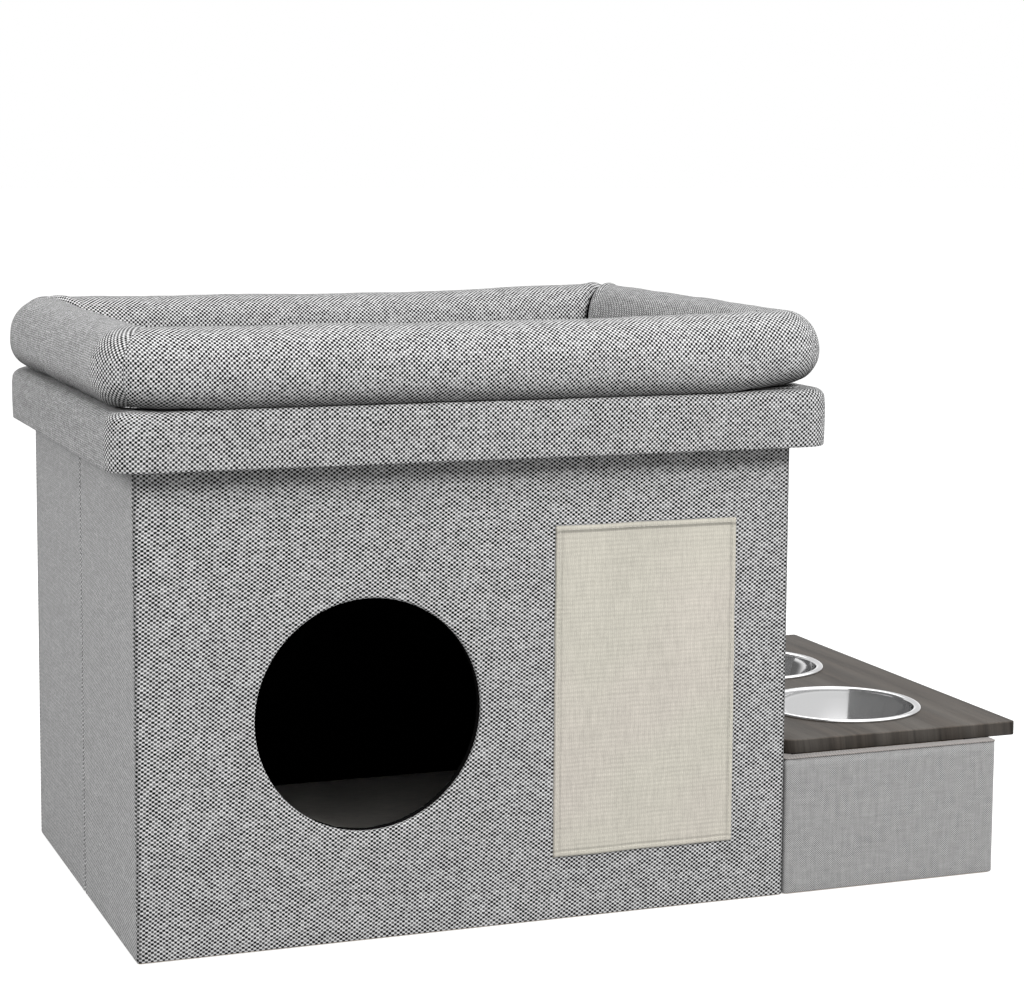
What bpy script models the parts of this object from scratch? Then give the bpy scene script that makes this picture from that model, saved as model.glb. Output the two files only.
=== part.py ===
"""Fabric-covered cat house with a cap lid, a bolster bed lying on it, and a low feeding box with a wood top and two steel bowls.

Metres, +Z up. The front with the entrance faces -Y. The origin is on the floor, under the middle of the whole object.
Positions below are given from the house's front left bottom corner and are moved to the origin by SHIFT.
"""

import math

import bmesh
import bpy
from mathutils import Vector

for old in list(bpy.data.objects):
    bpy.data.objects.remove(old, do_unlink=True)

# ---------------------------------------------------------------- driving dimensions
HOUSE_W = 0.520  # over the covers, left to right
HOUSE_D = 0.380  # front to back
WALL_H = 0.3885  # height of the wall boards
COVER_T = 0.0012  # woven cover
BOARD_T = 0.009  # wall board
LINING_T = 0.0008  # inner lining
GAP = 0.0003  # between pieces that lie against each other

HOLE_X = 0.1765  # entrance, centre from the left
HOLE_Z = 0.1710
HOLE_R = 0.0877
BINDING_T = 0.0012

PAD_X0, PAD_X1 = 0.323, 0.474  # scratching sheet
PAD_Z0, PAD_Z1 = 0.049, 0.306
PAD_T = 0.0018

BASE_T = 0.009  # loose base board
MAT_T = 0.022  # soft inner mat
MAT_INSET = 0.018

LID_OVER = 0.019  # lid beyond the house at the front, left and back
LID_OVER_RIGHT = 0.0285  # the lid is a loose fit and sits a little to the right
LID_Z0 = 0.3622
LID_Z1 = 0.405
LID_R = 0.024  # corner radius seen from above
LID_EDGE_R = 0.004
RAIL_T = 0.014
LID_BOARD_T = 0.008

RING_OVER = 0.024  # bolster ring beyond the house
RING_OVER_RIGHT = 0.0275
RING_RH = 0.029  # half width of a bolster
RING_RV = 0.0282  # half height of a bolster before it is flattened underneath
RING_Z = 0.4335  # height of a bolster's middle
RING_R = 0.041  # outer corner radius seen from above
BED_CLOTH_T = 0.001
BED_PAD_T = 0.020

FEEDER_X0 = 0.5206
FEEDER_X1 = 0.713
FEEDER_H = 0.109
FEEDER_R = 0.004
TOP_X0, TOP_X1 = 0.5210, 0.7370
TOP_Y0, TOP_Y1 = 0.0110, 0.4070
TOP_Z0, TOP_Z1 = 0.1106, 0.1222
TOP_CORNER_R = (0.011, 0.0025, 0.0025, 0.011)  # front left, front right, back right, back left
BOWL_X = 0.6285
BOWL_Y = (0.111, 0.287)
BOWL_RIM_R = 0.068
BOWL_HOLE_R = 0.0648
BOWL_WALL_R = 0.0632
BOWL_FLOOR_R = 0.046
BOWL_DEPTH = 0.041
BATTEN = 0.012
SCREW_X = (0.565, 0.670)

SHIFT = Vector((-0.3565, -0.1915, 0.0))  # house corner seen from the origin


# ---------------------------------------------------------------- materials
def material(name, rgb, roughness, metallic=0.0):
    m = bpy.data.materials.new(name)
    m.use_nodes = True
    shader = m.node_tree.nodes["Principled BSDF"]
    shader.inputs["Base Color"].default_value = (*rgb, 1.0)
    shader.inputs["Roughness"].default_value = roughness
    shader.inputs["Metallic"].default_value = metallic
    m.diffuse_color = (*rgb, 1.0)
    return m


GREY = (0.33, 0.33, 0.33)
CREAM = (0.58, 0.56, 0.48)
BLACK = (0.012, 0.012, 0.012)
FIBREBOARD = (0.36, 0.25, 0.15)
DARK_WOOD = (0.11, 0.095, 0.083)
STEEL = (0.78, 0.78, 0.79)
ZINC = (0.55, 0.55, 0.56)
FOAM = (0.82, 0.80, 0.72)
RIM = (0.42, 0.38, 0.37)
MAT_CLOTH = (0.027, 0.025, 0.023)


# ---------------------------------------------------------------- frames that carry the pieces
carriers = {}


def carrier(name, at, parent=None):
    empty = bpy.data.objects.new(name, None)
    bpy.context.scene.collection.objects.link(empty)
    empty.empty_display_size = 0.03
    place = Vector(at) + SHIFT
    carriers[name] = place
    if parent is not None:
        empty.parent = bpy.data.objects[parent]
        empty.location = place - carriers[parent]
    else:
        empty.location = place
    return empty


carrier("house_frame", (0, 0, 0))
carrier("base_frame", (HOUSE_W / 2, HOUSE_D / 2, 0.001), "house_frame")
carrier("mat_frame", (HOUSE_W / 2, HOUSE_D / 2, 0.0105), "base_frame")
carrier("lid_frame", (HOUSE_W / 2, HOUSE_D / 2, LID_Z0), "house_frame")
carrier("bed_frame", (HOUSE_W / 2, HOUSE_D / 2, LID_Z1), "lid_frame")
carrier("feeder_frame", ((FEEDER_X0 + FEEDER_X1) / 2, HOUSE_D / 2, 0), "house_frame")
carrier("feeder_top_frame", (BOWL_X, (TOP_Y0 + TOP_Y1) / 2, TOP_Z0), "feeder_frame")
carrier("bowl_front_frame", (BOWL_X, BOWL_Y[0], TOP_Z1), "feeder_top_frame")
carrier("bowl_rear_frame", (BOWL_X, BOWL_Y[1], TOP_Z1), "feeder_top_frame")


# ---------------------------------------------------------------- shapes
def finish(name, bm, centre, on, mat, smooth=False):
    """Links a mesh built round centre as one named piece that rides on a carrier."""
    bmesh.ops.recalc_face_normals(bm, faces=bm.faces[:])
    mesh = bpy.data.meshes.new(name)
    bm.to_mesh(mesh)
    bm.free()
    piece = bpy.data.objects.new(name, mesh)
    bpy.context.scene.collection.objects.link(piece)
    if mat is not None:
        mesh.materials.append(mat)
    piece.parent = bpy.data.objects[on]
    piece.location = Vector(centre) + SHIFT - carriers[on]
    if smooth:
        mesh.shade_smooth()
        mesh.set_sharp_from_angle(angle=math.radians(35))
    return piece


def block(name, lo, hi, on, mat, bevel=0.0):
    lo, hi = Vector(lo), Vector(hi)
    centre, size = (lo + hi) / 2, hi - lo
    bm = bmesh.new()
    bmesh.ops.create_cube(bm, size=1.0)
    bmesh.ops.scale(bm, vec=size, verts=bm.verts[:])
    piece = finish(name, bm, centre, on, mat)
    if bevel:
        edge = piece.modifiers.new("edges", "BEVEL")
        edge.width = bevel
        edge.segments = 2
        edge.limit_method = "ANGLE"
    return piece


def round_rect(x0, x1, y0, y1, radii, steps):
    """Points round a rectangle, anticlockwise from the front left corner. radii is one number, or one for each corner."""
    if not isinstance(radii, tuple):
        radii = (radii,) * 4
    front_left, front_right, back_right, back_left = (max(r, 0.0002) for r in radii)
    corners = (
        (x0 + front_left, y0 + front_left, front_left, 180),
        (x1 - front_right, y0 + front_right, front_right, 270),
        (x1 - back_right, y1 - back_right, back_right, 0),
        (x0 + back_left, y1 - back_left, back_left, 90),
    )
    points = []
    for cx, cy, r, start in corners:
        for i in range(steps + 1):
            a = math.radians(start + 90 * i / steps)
            points.append((cx + r * math.cos(a), cy + r * math.sin(a)))
    return points


def circle(cx, cy, r, steps):
    return [
        (cx + r * math.cos(2 * math.pi * i / steps), cy + r * math.sin(2 * math.pi * i / steps))
        for i in range(steps)
    ]


def centre_of(loops):
    lows = [min(p[k] for loop in loops for p in loop) for k in range(3)]
    highs = [max(p[k] for loop in loops for p in loop) for k in range(3)]
    return [(a + b) / 2 for a, b in zip(lows, highs)]


def loft(name, loops, on, mat, ends="caps", around=True, smooth=False):
    """A skin over loops of points. ends: caps closes the first and last loop, joined runs the last into the first.
    around: each loop is closed, else its two ends are faces of their own."""
    centre = centre_of(loops)
    bm = bmesh.new()
    rings = [[bm.verts.new([p[k] - centre[k] for k in range(3)]) for p in loop] for loop in loops]
    n = len(rings[0])
    pairs = list(zip(rings, rings[1:]))
    if ends == "joined":
        pairs.append((rings[-1], rings[0]))
    for a, b in pairs:
        for i in range(n if around else n - 1):
            j = (i + 1) % n
            bm.faces.new((a[i], a[j], b[j], b[i]))
    if ends == "caps":
        bm.faces.new(rings[0])
        bm.faces.new(rings[-1])
    if not around:
        bm.faces.new([ring[0] for ring in rings])
        bm.faces.new([ring[-1] for ring in rings])
    return finish(name, bm, centre, on, mat, smooth)


def inset_loop(rect, radius, inset, z, steps):
    x0, x1, y0, y1 = rect
    flat = round_rect(x0 + inset, x1 - inset, y0 + inset, y1 - inset, radius - inset, steps)
    return [(x, y, z) for x, y in flat]


def frame_side(name, rect, radius, profile, side, on, mat, steps=6, end_gap=0.00025, smooth=False):
    """One side of a frame whose cross-section is profile, a list of (inset, z), cut at 45 degrees in both corners.
    side counts from the front, anticlockwise."""
    n = steps + 1
    half = steps // 2
    first = (side * n + half) % (4 * n)
    count = n + 1  # from the middle of one corner to the middle of the next
    tangent = ((1, 0), (0, 1), (-1, 0), (0, -1))[side]
    loops = []
    for inset, z in profile:
        ring = inset_loop(rect, radius, inset, z, steps)
        line = [ring[(first + i) % (4 * n)] for i in range(count)]
        a, b = line[0], line[-1]
        line[0] = (a[0] + tangent[0] * end_gap, a[1] + tangent[1] * end_gap, a[2])
        line[-1] = (b[0] - tangent[0] * end_gap, b[1] - tangent[1] * end_gap, b[2])
        loops.append(line)
    return loft(name, loops, on, mat, ends="joined", around=False, smooth=smooth)


def cut(piece, cutter):
    cutter.hide_render = True
    cutter.display_type = "WIRE"
    hole = piece.modifiers.new("cut", "BOOLEAN")
    hole.operation = "DIFFERENCE"
    hole.solver = "EXACT"
    hole.object = cutter


def entrance_cutter(name, r, y0, y1):
    ring = circle(HOLE_X, HOLE_Z, r, 64)
    loops = [[(x, y, z) for x, z in ring] for y in (y0, y1)]
    return loft(name, loops, "house_frame", None)


# ---------------------------------------------------------------- house
t, b, g = COVER_T, BOARD_T, GAP
cover_z = (0.0005, 0.389)
inner0 = t + g  # boards' outer face
inner1 = inner0 + b  # boards' inner face

front_cover = block("front_cover", (0, 0, cover_z[0]), (HOUSE_W, t, cover_z[1]), "house_frame", material("front_cover", GREY, 0.9))
cut(front_cover, entrance_cutter("entrance_cover_cut", HOLE_R, -0.01, 0.01))
block("back_cover", (0, HOUSE_D - t, cover_z[0]), (HOUSE_W, HOUSE_D, cover_z[1]), "house_frame", material("back_cover", GREY, 0.9))
block("left_cover", (0, t + g, cover_z[0]), (t, HOUSE_D - t - g, cover_z[1]), "house_frame", material("left_cover", GREY, 0.9))
block("right_cover", (HOUSE_W - t, t + g, cover_z[0]), (HOUSE_W, HOUSE_D - t - g, cover_z[1]), "house_frame", material("right_cover", GREY, 0.9))

front_board = block("front_board", (inner0, inner0, 0), (HOUSE_W - inner0, inner1, WALL_H), "house_frame", material("front_board", FIBREBOARD, 0.8))
cut(front_board, entrance_cutter("entrance_board_cut", HOLE_R + BINDING_T + g, -0.01, 0.03))
block("back_board", (inner0, HOUSE_D - inner1, 0), (HOUSE_W - inner0, HOUSE_D - inner0, WALL_H), "house_frame", material("back_board", FIBREBOARD, 0.8))
middle = HOUSE_D / 2
for hand, x0, x1 in (("left", inner0, inner1), ("right", HOUSE_W - inner1, HOUSE_W - inner0)):
    block(f"{hand}_wall_front_half", (x0, inner1 + g, 0), (x1, middle - g, WALL_H), "house_frame", material(f"{hand}_wall_front_half", FIBREBOARD, 0.8))
    block(f"{hand}_wall_rear_half", (x0, middle + g, 0), (x1, HOUSE_D - inner1 - g, WALL_H), "house_frame", material(f"{hand}_wall_rear_half", FIBREBOARD, 0.8))

lining_out = inner1 + g
lining_in = lining_out + LINING_T
walls = (0, HOUSE_W, 0, HOUSE_D)
lining = loft(
    "inner_lining",
    [inset_loop(walls, 0.0112, d, z, 1) for d, z in ((lining_out, 0.004), (lining_in, 0.004), (lining_in, 0.388), (lining_out, 0.388))],
    "house_frame",
    material("inner_lining", BLACK, 0.95),
    ends="joined",
)
cut(lining, entrance_cutter("entrance_lining_cut", HOLE_R + BINDING_T + g, -0.01, 0.03))

binding_rings = []
for r, y in ((HOLE_R, t + g), (HOLE_R, lining_in), (HOLE_R + BINDING_T, lining_in), (HOLE_R + BINDING_T, t + g)):
    binding_rings.append([(x, y, z) for x, z in circle(HOLE_X, HOLE_Z, r, 64)])
loft("entrance_binding", binding_rings, "house_frame", material("entrance_binding", BLACK, 0.9), ends="joined", smooth=True)

block("bottom_cloth", (inner1 + g, inner1 + g, 0), (HOUSE_W - inner1 - g, HOUSE_D - inner1 - g, 0.001), "house_frame", material("bottom_cloth", BLACK, 0.95))

block("scratch_pad", (PAD_X0, -g - PAD_T, PAD_Z0), (PAD_X1, -g, PAD_Z1), "house_frame", material("scratch_pad", CREAM, 0.9))

edge = lining_in + 0.0009
base_z = 0.0013
block("base_board", (edge, edge, base_z), (HOUSE_W - edge, HOUSE_D - edge, base_z + BASE_T), "base_frame", material("base_board", BLACK, 0.9), bevel=0.001)

mat_z = base_z + BASE_T + g
mat_rect = (MAT_INSET, HOUSE_W - MAT_INSET, MAT_INSET, HOUSE_D - MAT_INSET)
mat_profile = ((0.004, 0.0), (0.0, 0.006), (0.0, MAT_T - 0.008), (0.004, MAT_T - 0.003), (0.011, MAT_T))
loft(
    "inner_mat",
    [inset_loop(mat_rect, 0.022, d, mat_z + h, 4) for d, h in mat_profile],
    "mat_frame",
    material("inner_mat", MAT_CLOTH, 0.95),
    smooth=True,
)

# ---------------------------------------------------------------- lid
lid_rect = (-LID_OVER, HOUSE_W + LID_OVER_RIGHT, -LID_OVER, HOUSE_D + LID_OVER)
skin = t + g
rail_z1 = WALL_H + 0.002
board_z0 = rail_z1 + g
board_z1 = board_z0 + LID_BOARD_T
foam_z1 = LID_Z1 - t - g
lip = skin + RAIL_T

cover_profile = [(0.012, LID_Z1)]
for i in range(5):
    a = math.radians(90 * i / 4)
    cover_profile.append((LID_EDGE_R * (1 - math.sin(a)), LID_Z1 - LID_EDGE_R * (1 - math.cos(a))))
cover_profile += [(0.0, LID_Z0 + 0.0015), (0.0015, LID_Z0), (lip, LID_Z0), (lip, LID_Z0 + t), (t, LID_Z0 + t)]
inner_r = LID_EDGE_R - t
for i in range(4):
    a = math.radians(90 * i / 3)
    cover_profile.append((t + inner_r * (1 - math.cos(a)), LID_Z1 - t - inner_r * (1 - math.sin(a))))
loft("lid_cover", [inset_loop(lid_rect, LID_R, d, z, 6) for d, z in cover_profile], "lid_frame", material("lid_cover", GREY, 0.9), smooth=True)

rail_profile = ((skin, LID_Z0 + t + g), (lip, LID_Z0 + t + g), (lip, rail_z1), (skin, rail_z1))
for side, hand in enumerate(("front", "right", "back", "left")):
    frame_side(f"lid_rail_{hand}", lid_rect, LID_R, rail_profile, side, "lid_frame", material(f"lid_rail_{hand}", FIBREBOARD, 0.8))

loft(
    "lid_board",
    [inset_loop(lid_rect, LID_R, skin, z, 6) for z in (board_z0, board_z1)],
    "lid_frame",
    material("lid_board", FIBREBOARD, 0.8),
)
foam_profile = ((skin, board_z1 + g), (skin, foam_z1 - inner_r), (skin + 0.0009, foam_z1 - 0.0009), (skin + inner_r, foam_z1))
loft("lid_foam", [inset_loop(lid_rect, LID_R, d, z, 6) for d, z in foam_profile], "lid_frame", material("lid_foam", FOAM, 0.95))
loft(
    "lid_lining",
    [inset_loop(lid_rect, LID_R, lip + g, z, 6) for z in (WALL_H + 0.0008, rail_z1 - 0.0002)],
    "lid_frame",
    material("lid_lining", BLACK, 0.95),
)

# ---------------------------------------------------------------- bed
ring_rect = (-RING_OVER, HOUSE_W + RING_OVER_RIGHT, -RING_OVER, HOUSE_D + RING_OVER - 0.0005)
cloth_z0 = LID_Z1 + g
cloth_z1 = cloth_z0 + BED_CLOTH_T
section = []
for i in range(16):
    a = 2 * math.pi * (i + 0.5) / 16
    section.append((RING_RH - RING_RH * math.cos(a), max(cloth_z1 + g, RING_Z + RING_RV * math.sin(a))))
for side, hand in enumerate(("front", "right", "back", "left")):
    frame_side(f"bolster_{hand}", ring_rect, RING_R, section, side, "bed_frame", material(f"bolster_{hand}", GREY, 0.9), smooth=True)

loft(
    "bed_base_cloth",
    [inset_loop(ring_rect, 0.034, 0.018, z, 4) for z in (cloth_z0, cloth_z1)],
    "bed_frame",
    material("bed_base_cloth", GREY, 0.9),
)
well = 2 * RING_RH + 0.0010
pad_profile = ((well + 0.004, 0.0), (well, 0.006), (well, BED_PAD_T - 0.007), (well + 0.004, BED_PAD_T - 0.002), (well + 0.010, BED_PAD_T))
loft(
    "bed_pad",
    [inset_loop(ring_rect, 0.078, d, cloth_z1 + g + h, 4) for d, h in pad_profile],
    "bed_frame",
    material("bed_pad", GREY, 0.9),
    smooth=True,
)

# ---------------------------------------------------------------- feeding box
feeder_rect = (FEEDER_X0, FEEDER_X1, 0.0, HOUSE_D)
loft(
    "feeder_cover",
    [inset_loop(feeder_rect, FEEDER_R, d, z, 4) for d, z in ((0.0, 0.0005), (0.001, 0.0005), (0.001, FEEDER_H), (0.0, FEEDER_H))],
    "feeder_frame",
    material("feeder_cover", GREY, 0.9),
    ends="joined",
)
o = 0.001 + g
f0, f1 = FEEDER_X0 + o, FEEDER_X1 - o
for name, y0, y1 in (("feeder_front_board", o, o + b), ("feeder_back_board", HOUSE_D - o - b, HOUSE_D - o)):
    ends = (0.0032, 0.0032, 0.0002, 0.0002) if y0 < middle else (0.0002, 0.0002, 0.0032, 0.0032)
    outline = round_rect(f0, f1, y0, y1, ends, 2)
    loft(name, [[(x, y, z) for x, y in outline] for z in (0.0, FEEDER_H)], "feeder_frame", material(name, FIBREBOARD, 0.8))
side_y = (o + b + g, HOUSE_D - o - b - g)
block("feeder_left_board", (f0, side_y[0], 0), (f0 + b, side_y[1], FEEDER_H), "feeder_frame", material("feeder_left_board", FIBREBOARD, 0.8))
block("feeder_right_board", (f1 - b, side_y[0], 0), (f1, side_y[1], FEEDER_H), "feeder_frame", material("feeder_right_board", FIBREBOARD, 0.8))
block("feeder_bottom_board", (f0 + b + g, side_y[0], 0), (f1 - b - g, side_y[1], 0.006), "feeder_frame", material("feeder_bottom_board", FIBREBOARD, 0.8))
wall = o + b + g
loft(
    "feeder_lining",
    [inset_loop(feeder_rect, wall + 0.0005, d, z, 1) for d, z in ((wall, 0.0063), (wall + LINING_T, 0.0063), (wall + LINING_T, FEEDER_H), (wall, FEEDER_H))],
    "feeder_frame",
    material("feeder_lining", BLACK, 0.95),
    ends="joined",
)
rim_z = FEEDER_H + g
loft(
    "feeder_rim_binding",
    [inset_loop(feeder_rect, FEEDER_R, d, z, 4) for d, z in ((0.0, rim_z), (wall + LINING_T, rim_z), (wall + LINING_T, rim_z + 0.0009), (0.0, rim_z + 0.0009))],
    "feeder_frame",
    material("feeder_rim_binding", RIM, 0.9),
    ends="joined",
)

# ---------------------------------------------------------------- feeding box top, its battens and screws
batten_z = (TOP_Z0 - g - BATTEN, TOP_Z0 - g)
top_outline = round_rect(TOP_X0, TOP_X1, TOP_Y0, TOP_Y1, TOP_CORNER_R, 5)
top_board = loft(
    "feeder_top_board",
    [[(x, y, z) for x, y in top_outline] for z in (TOP_Z0, TOP_Z1)],
    "feeder_top_frame",
    material("feeder_top_board", DARK_WOOD, 0.55),
)
for i, y in enumerate(BOWL_Y):
    outline = circle(BOWL_X, y, BOWL_HOLE_R, 40)
    cut(top_board, loft(f"bowl_hole_cut_{i + 1}", [[(p, q, z) for p, q in outline] for z in (TOP_Z0 - 0.01, TOP_Z1 + 0.01)], "feeder_top_frame", None))

screw_profile = ((0.0035, 0.0002), (0.0017, 0.0024), (0.0017, 0.0188), (0.0006, 0.0200))
screw_hole = ((0.0046, -0.0005), (0.0020, 0.0025), (0.0020, 0.0206))
number = 0
for name, y in (("feeder_batten_front", 0.0194), ("feeder_batten_rear", 0.3606)):
    batten = block(name, (0.545, y - BATTEN / 2, batten_z[0]), (0.690, y + BATTEN / 2, batten_z[1]), "feeder_top_frame", material(name, FIBREBOARD, 0.7))
    for x in SCREW_X:
        number += 1
        loops = [[(p, q, batten_z[0] + h) for p, q in circle(x, y, r, 12)] for r, h in screw_profile]
        loft(f"feeder_screw_{number}", loops, "feeder_top_frame", material(f"feeder_screw_{number}", ZINC, 0.35, 1.0))
        loops = [[(p, q, batten_z[0] + h) for p, q in circle(x, y, r, 12)] for r, h in screw_hole]
        cutter = loft(f"screw_hole_cut_{number}", loops, "feeder_top_frame", None)
        cut(batten, cutter)
        cut(top_board, cutter)

# ---------------------------------------------------------------- bowls: pressed sheet, flat floor, sloping wall, flared rim with a turned-down lip
sheet = 0.0009
rim = TOP_Z1 + g + 0.0016  # top of the rim where it leaves the wall
inside = [(BOWL_FLOOR_R - 0.004, -BOWL_DEPTH), (BOWL_FLOOR_R + 0.001, -BOWL_DEPTH + 0.0045)]
for i in range(1, 4):
    s = i / 4
    inside.append((BOWL_FLOOR_R + 0.001 + (BOWL_WALL_R - sheet - BOWL_FLOOR_R - 0.001) * s**0.8, -BOWL_DEPTH + 0.0045 + (BOWL_DEPTH - 0.0065) * s))
inside += [(BOWL_WALL_R - 0.0004, -0.0008), (BOWL_WALL_R + 0.0008, 0.0), (BOWL_RIM_R - 0.0008, 0.0002), (BOWL_RIM_R, -0.0008)]
outside = [(BOWL_RIM_R - 0.0001, -0.0015), (BOWL_RIM_R - 0.0010, -0.0015), (BOWL_RIM_R - 0.0012, -0.0008), (BOWL_WALL_R + 0.0012, -0.0010)]
for i in range(3, 0, -1):
    s = i / 4
    outside.append((BOWL_FLOOR_R + 0.001 + sheet + (BOWL_WALL_R - sheet - BOWL_FLOOR_R - 0.001) * s**0.8, -BOWL_DEPTH + 0.0041 + (BOWL_DEPTH - 0.0065) * s))
outside += [(BOWL_FLOOR_R + 0.0018, -BOWL_DEPTH + 0.0038), (BOWL_FLOOR_R - 0.0036, -BOWL_DEPTH - sheet)]
for name, y in zip(("bowl_front", "bowl_rear"), BOWL_Y):
    loops = [[(p, q, rim + h) for p, q in circle(BOWL_X, y, r, 40)] for r, h in inside + outside]
    loft(name, loops, name + "_frame", material(name, STEEL, 0.12, 1.0), smooth=True)
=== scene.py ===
"""Looks of the fabric-covered cat house: woven covers, stuffed bolsters, wood-topped feeding box and steel bowls.

Metres. Shapes are given from the house's front left bottom corner, like the construction, and moved by SHIFT.
"""

import math

import bmesh
import bpy
import numpy as np
from mathutils import Matrix, Vector


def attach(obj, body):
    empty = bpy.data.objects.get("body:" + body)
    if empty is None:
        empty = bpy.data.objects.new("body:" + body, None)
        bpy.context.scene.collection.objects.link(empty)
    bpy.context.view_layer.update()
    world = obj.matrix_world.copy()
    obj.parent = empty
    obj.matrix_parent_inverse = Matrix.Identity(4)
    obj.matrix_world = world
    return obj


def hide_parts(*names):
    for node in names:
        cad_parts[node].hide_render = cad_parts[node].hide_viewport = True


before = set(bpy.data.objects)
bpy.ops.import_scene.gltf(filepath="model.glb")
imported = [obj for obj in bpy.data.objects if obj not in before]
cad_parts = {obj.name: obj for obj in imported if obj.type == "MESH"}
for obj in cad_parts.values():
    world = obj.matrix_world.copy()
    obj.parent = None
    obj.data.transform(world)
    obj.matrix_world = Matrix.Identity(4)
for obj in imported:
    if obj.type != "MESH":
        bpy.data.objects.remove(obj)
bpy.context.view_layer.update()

# ---------------------------------------------------------------- sizes, repeated from the construction
SHIFT = np.array((-0.3565, -0.1915, 0.0))
W, D = 0.520, 0.380
HOLE_X, HOLE_Z, HOLE_R = 0.1765, 0.1710, 0.0877
HOLE = np.array((HOLE_X, HOLE_Z))
WALL_TOP = 0.3892  # cloth over the wall tops
EDGE_R = 0.0025  # cloth round the house's upright edges
CLOTH_T = 0.00065
LINING_IN = 0.0116
LID_RECT = (-0.019, W + 0.0285, -0.019, D + 0.019)
LID_R = 0.024
LID_Z0, LID_Z1 = 0.3622, 0.405
LID_EDGE = 0.008  # the padded lid's rounded upper edge
RAIL_T = 0.014
RING_RECT = (-0.024, W + 0.0275, -0.024, D + 0.0235)
RING_R, RING_RH, RING_RV = 0.041, 0.029, 0.0282
RING_Z, RING_FOOT = 0.4335, 0.4068
FEEDER_RECT = (0.5206, 0.713, 0.0, D)
FEEDER_R = 0.004
FEEDER_H = 0.109
TOP = (0.5210, 0.7370, 0.0110, 0.4070)
TOP_Z0, TOP_Z1 = 0.1106, 0.1222
TOP_CORNERS = (0.011, 0.0025, 0.0025, 0.011)
BOWL_X, BOWL_Y = 0.6285, (0.111, 0.287)
BOWL_HOLE_R = 0.0648

scene = bpy.context.scene
rng = np.random.default_rng(7)


# ================================================================ camera, light, floor
def place_camera():
    """The photograph's viewing angle: a long lens a little above the bed, 21 degrees round to the left."""
    focal, yaw, pitch, roll = 2547.5837, 0.3636, 0.11146, 0.00632
    at = Vector((-0.38511228, -1.76753297, 0.59163302)) + Vector(SHIFT)
    ahead = Vector((math.sin(yaw), math.cos(yaw), 0.0))
    right = Vector((math.cos(yaw), -math.sin(yaw), 0.0))
    up = Vector((0.0, 0.0, 1.0))
    look = ahead * math.cos(pitch) - up * math.sin(pitch)
    over = up * math.cos(pitch) + ahead * math.sin(pitch)
    x = right * math.cos(roll) + over * math.sin(roll)
    y = -right * math.sin(roll) + over * math.cos(roll)
    lens = bpy.data.cameras.new("camera")
    lens.sensor_fit = "HORIZONTAL"
    lens.sensor_width = 36.0
    lens.lens = 36.0 * focal / 1024
    lens.shift_x = 0.0
    lens.shift_y = (430 - 497) / 1024
    lens.clip_start = 0.05
    lens.clip_end = 60.0
    camera = bpy.data.objects.new("camera", lens)
    turn = Matrix((x, y, -look)).transposed()
    camera.matrix_world = Matrix.Translation(at) @ turn.to_4x4()
    scene.collection.objects.link(camera)
    scene.camera = camera


def area_light(name, at, aim, size, watts, colour=(1.0, 1.0, 1.0)):
    data = bpy.data.lights.new(name, "AREA")
    data.shape = "RECTANGLE"
    data.size, data.size_y = size
    data.energy = watts
    data.color = colour
    lamp = bpy.data.objects.new(name, data)
    lamp.location = at
    lamp.rotation_euler = (Vector(aim) - Vector(at)).to_track_quat("-Z", "Y").to_euler()
    lamp.visible_glossy = False
    scene.collection.objects.link(lamp)
    return lamp


place_camera()
scene.view_settings.view_transform = "Standard"
scene.view_settings.look = "None"
scene.view_settings.exposure = 0.0
scene.view_settings.gamma = 1.0

def studio_world():
    """A pale studio: a white sweep behind, light grey walls, dimmer far to the left and low down behind the camera, and a bright ceiling."""
    world = bpy.data.worlds.new("studio")
    world.use_nodes = True
    tree = world.node_tree
    where = tree.nodes.new("ShaderNodeTexCoord")
    split = tree.nodes.new("ShaderNodeSeparateXYZ")
    tree.links.new(where.outputs["Generated"], split.inputs[0])

    def ramp(axis, low, high, start, stop):
        part = tree.nodes.new("ShaderNodeMapRange")
        part.interpolation_type = "SMOOTHSTEP"
        for name, value in (("From Min", low), ("From Max", high), ("To Min", start), ("To Max", stop)):
            part.inputs[name].default_value = value
        tree.links.new(split.outputs[axis], part.inputs["Value"])
        return part.outputs["Result"]

    def calc(operation, *values):
        node = tree.nodes.new("ShaderNodeMath")
        node.operation = operation
        for socket, value in zip(node.inputs, values):
            if isinstance(value, float):
                socket.default_value = value
            else:
                tree.links.new(value, socket)
        return node.outputs[0]

    middle = ramp("X", -0.80, -0.55, 0.15, 0.80)
    near = calc("MULTIPLY", ramp("Y", -0.30, 0.0, 0.55, 0.0), ramp("Z", 0.07, 0.17, 1.0, 0.0))
    wall = calc("SUBTRACT", calc("MULTIPLY", calc("SUBTRACT", 1.0, middle), ramp("Z", 0.10, 0.22, 1.0, 0.0)), near)
    ceiling = calc("MULTIPLY", calc("SUBTRACT", 2.1, middle), ramp("Z", 0.42, 0.70, 0.0, 1.0))
    total = calc("ADD", middle, calc("ADD", wall, ceiling))
    background = tree.nodes["Background"]
    background.inputs["Color"].default_value = (1.0, 1.0, 1.0, 1.0)
    tree.links.new(total, background.inputs["Strength"])
    scene.world = world


studio_world()
area_light("front", (1.15, -2.45, 2.35), (0.0, 0.0, 0.25), (1.3, 1.1), 200.0)
area_light("left", (-2.7, -0.6, 1.6), (0.0, 0.0, 0.25), (1.3, 1.1), 96.0)


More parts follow.
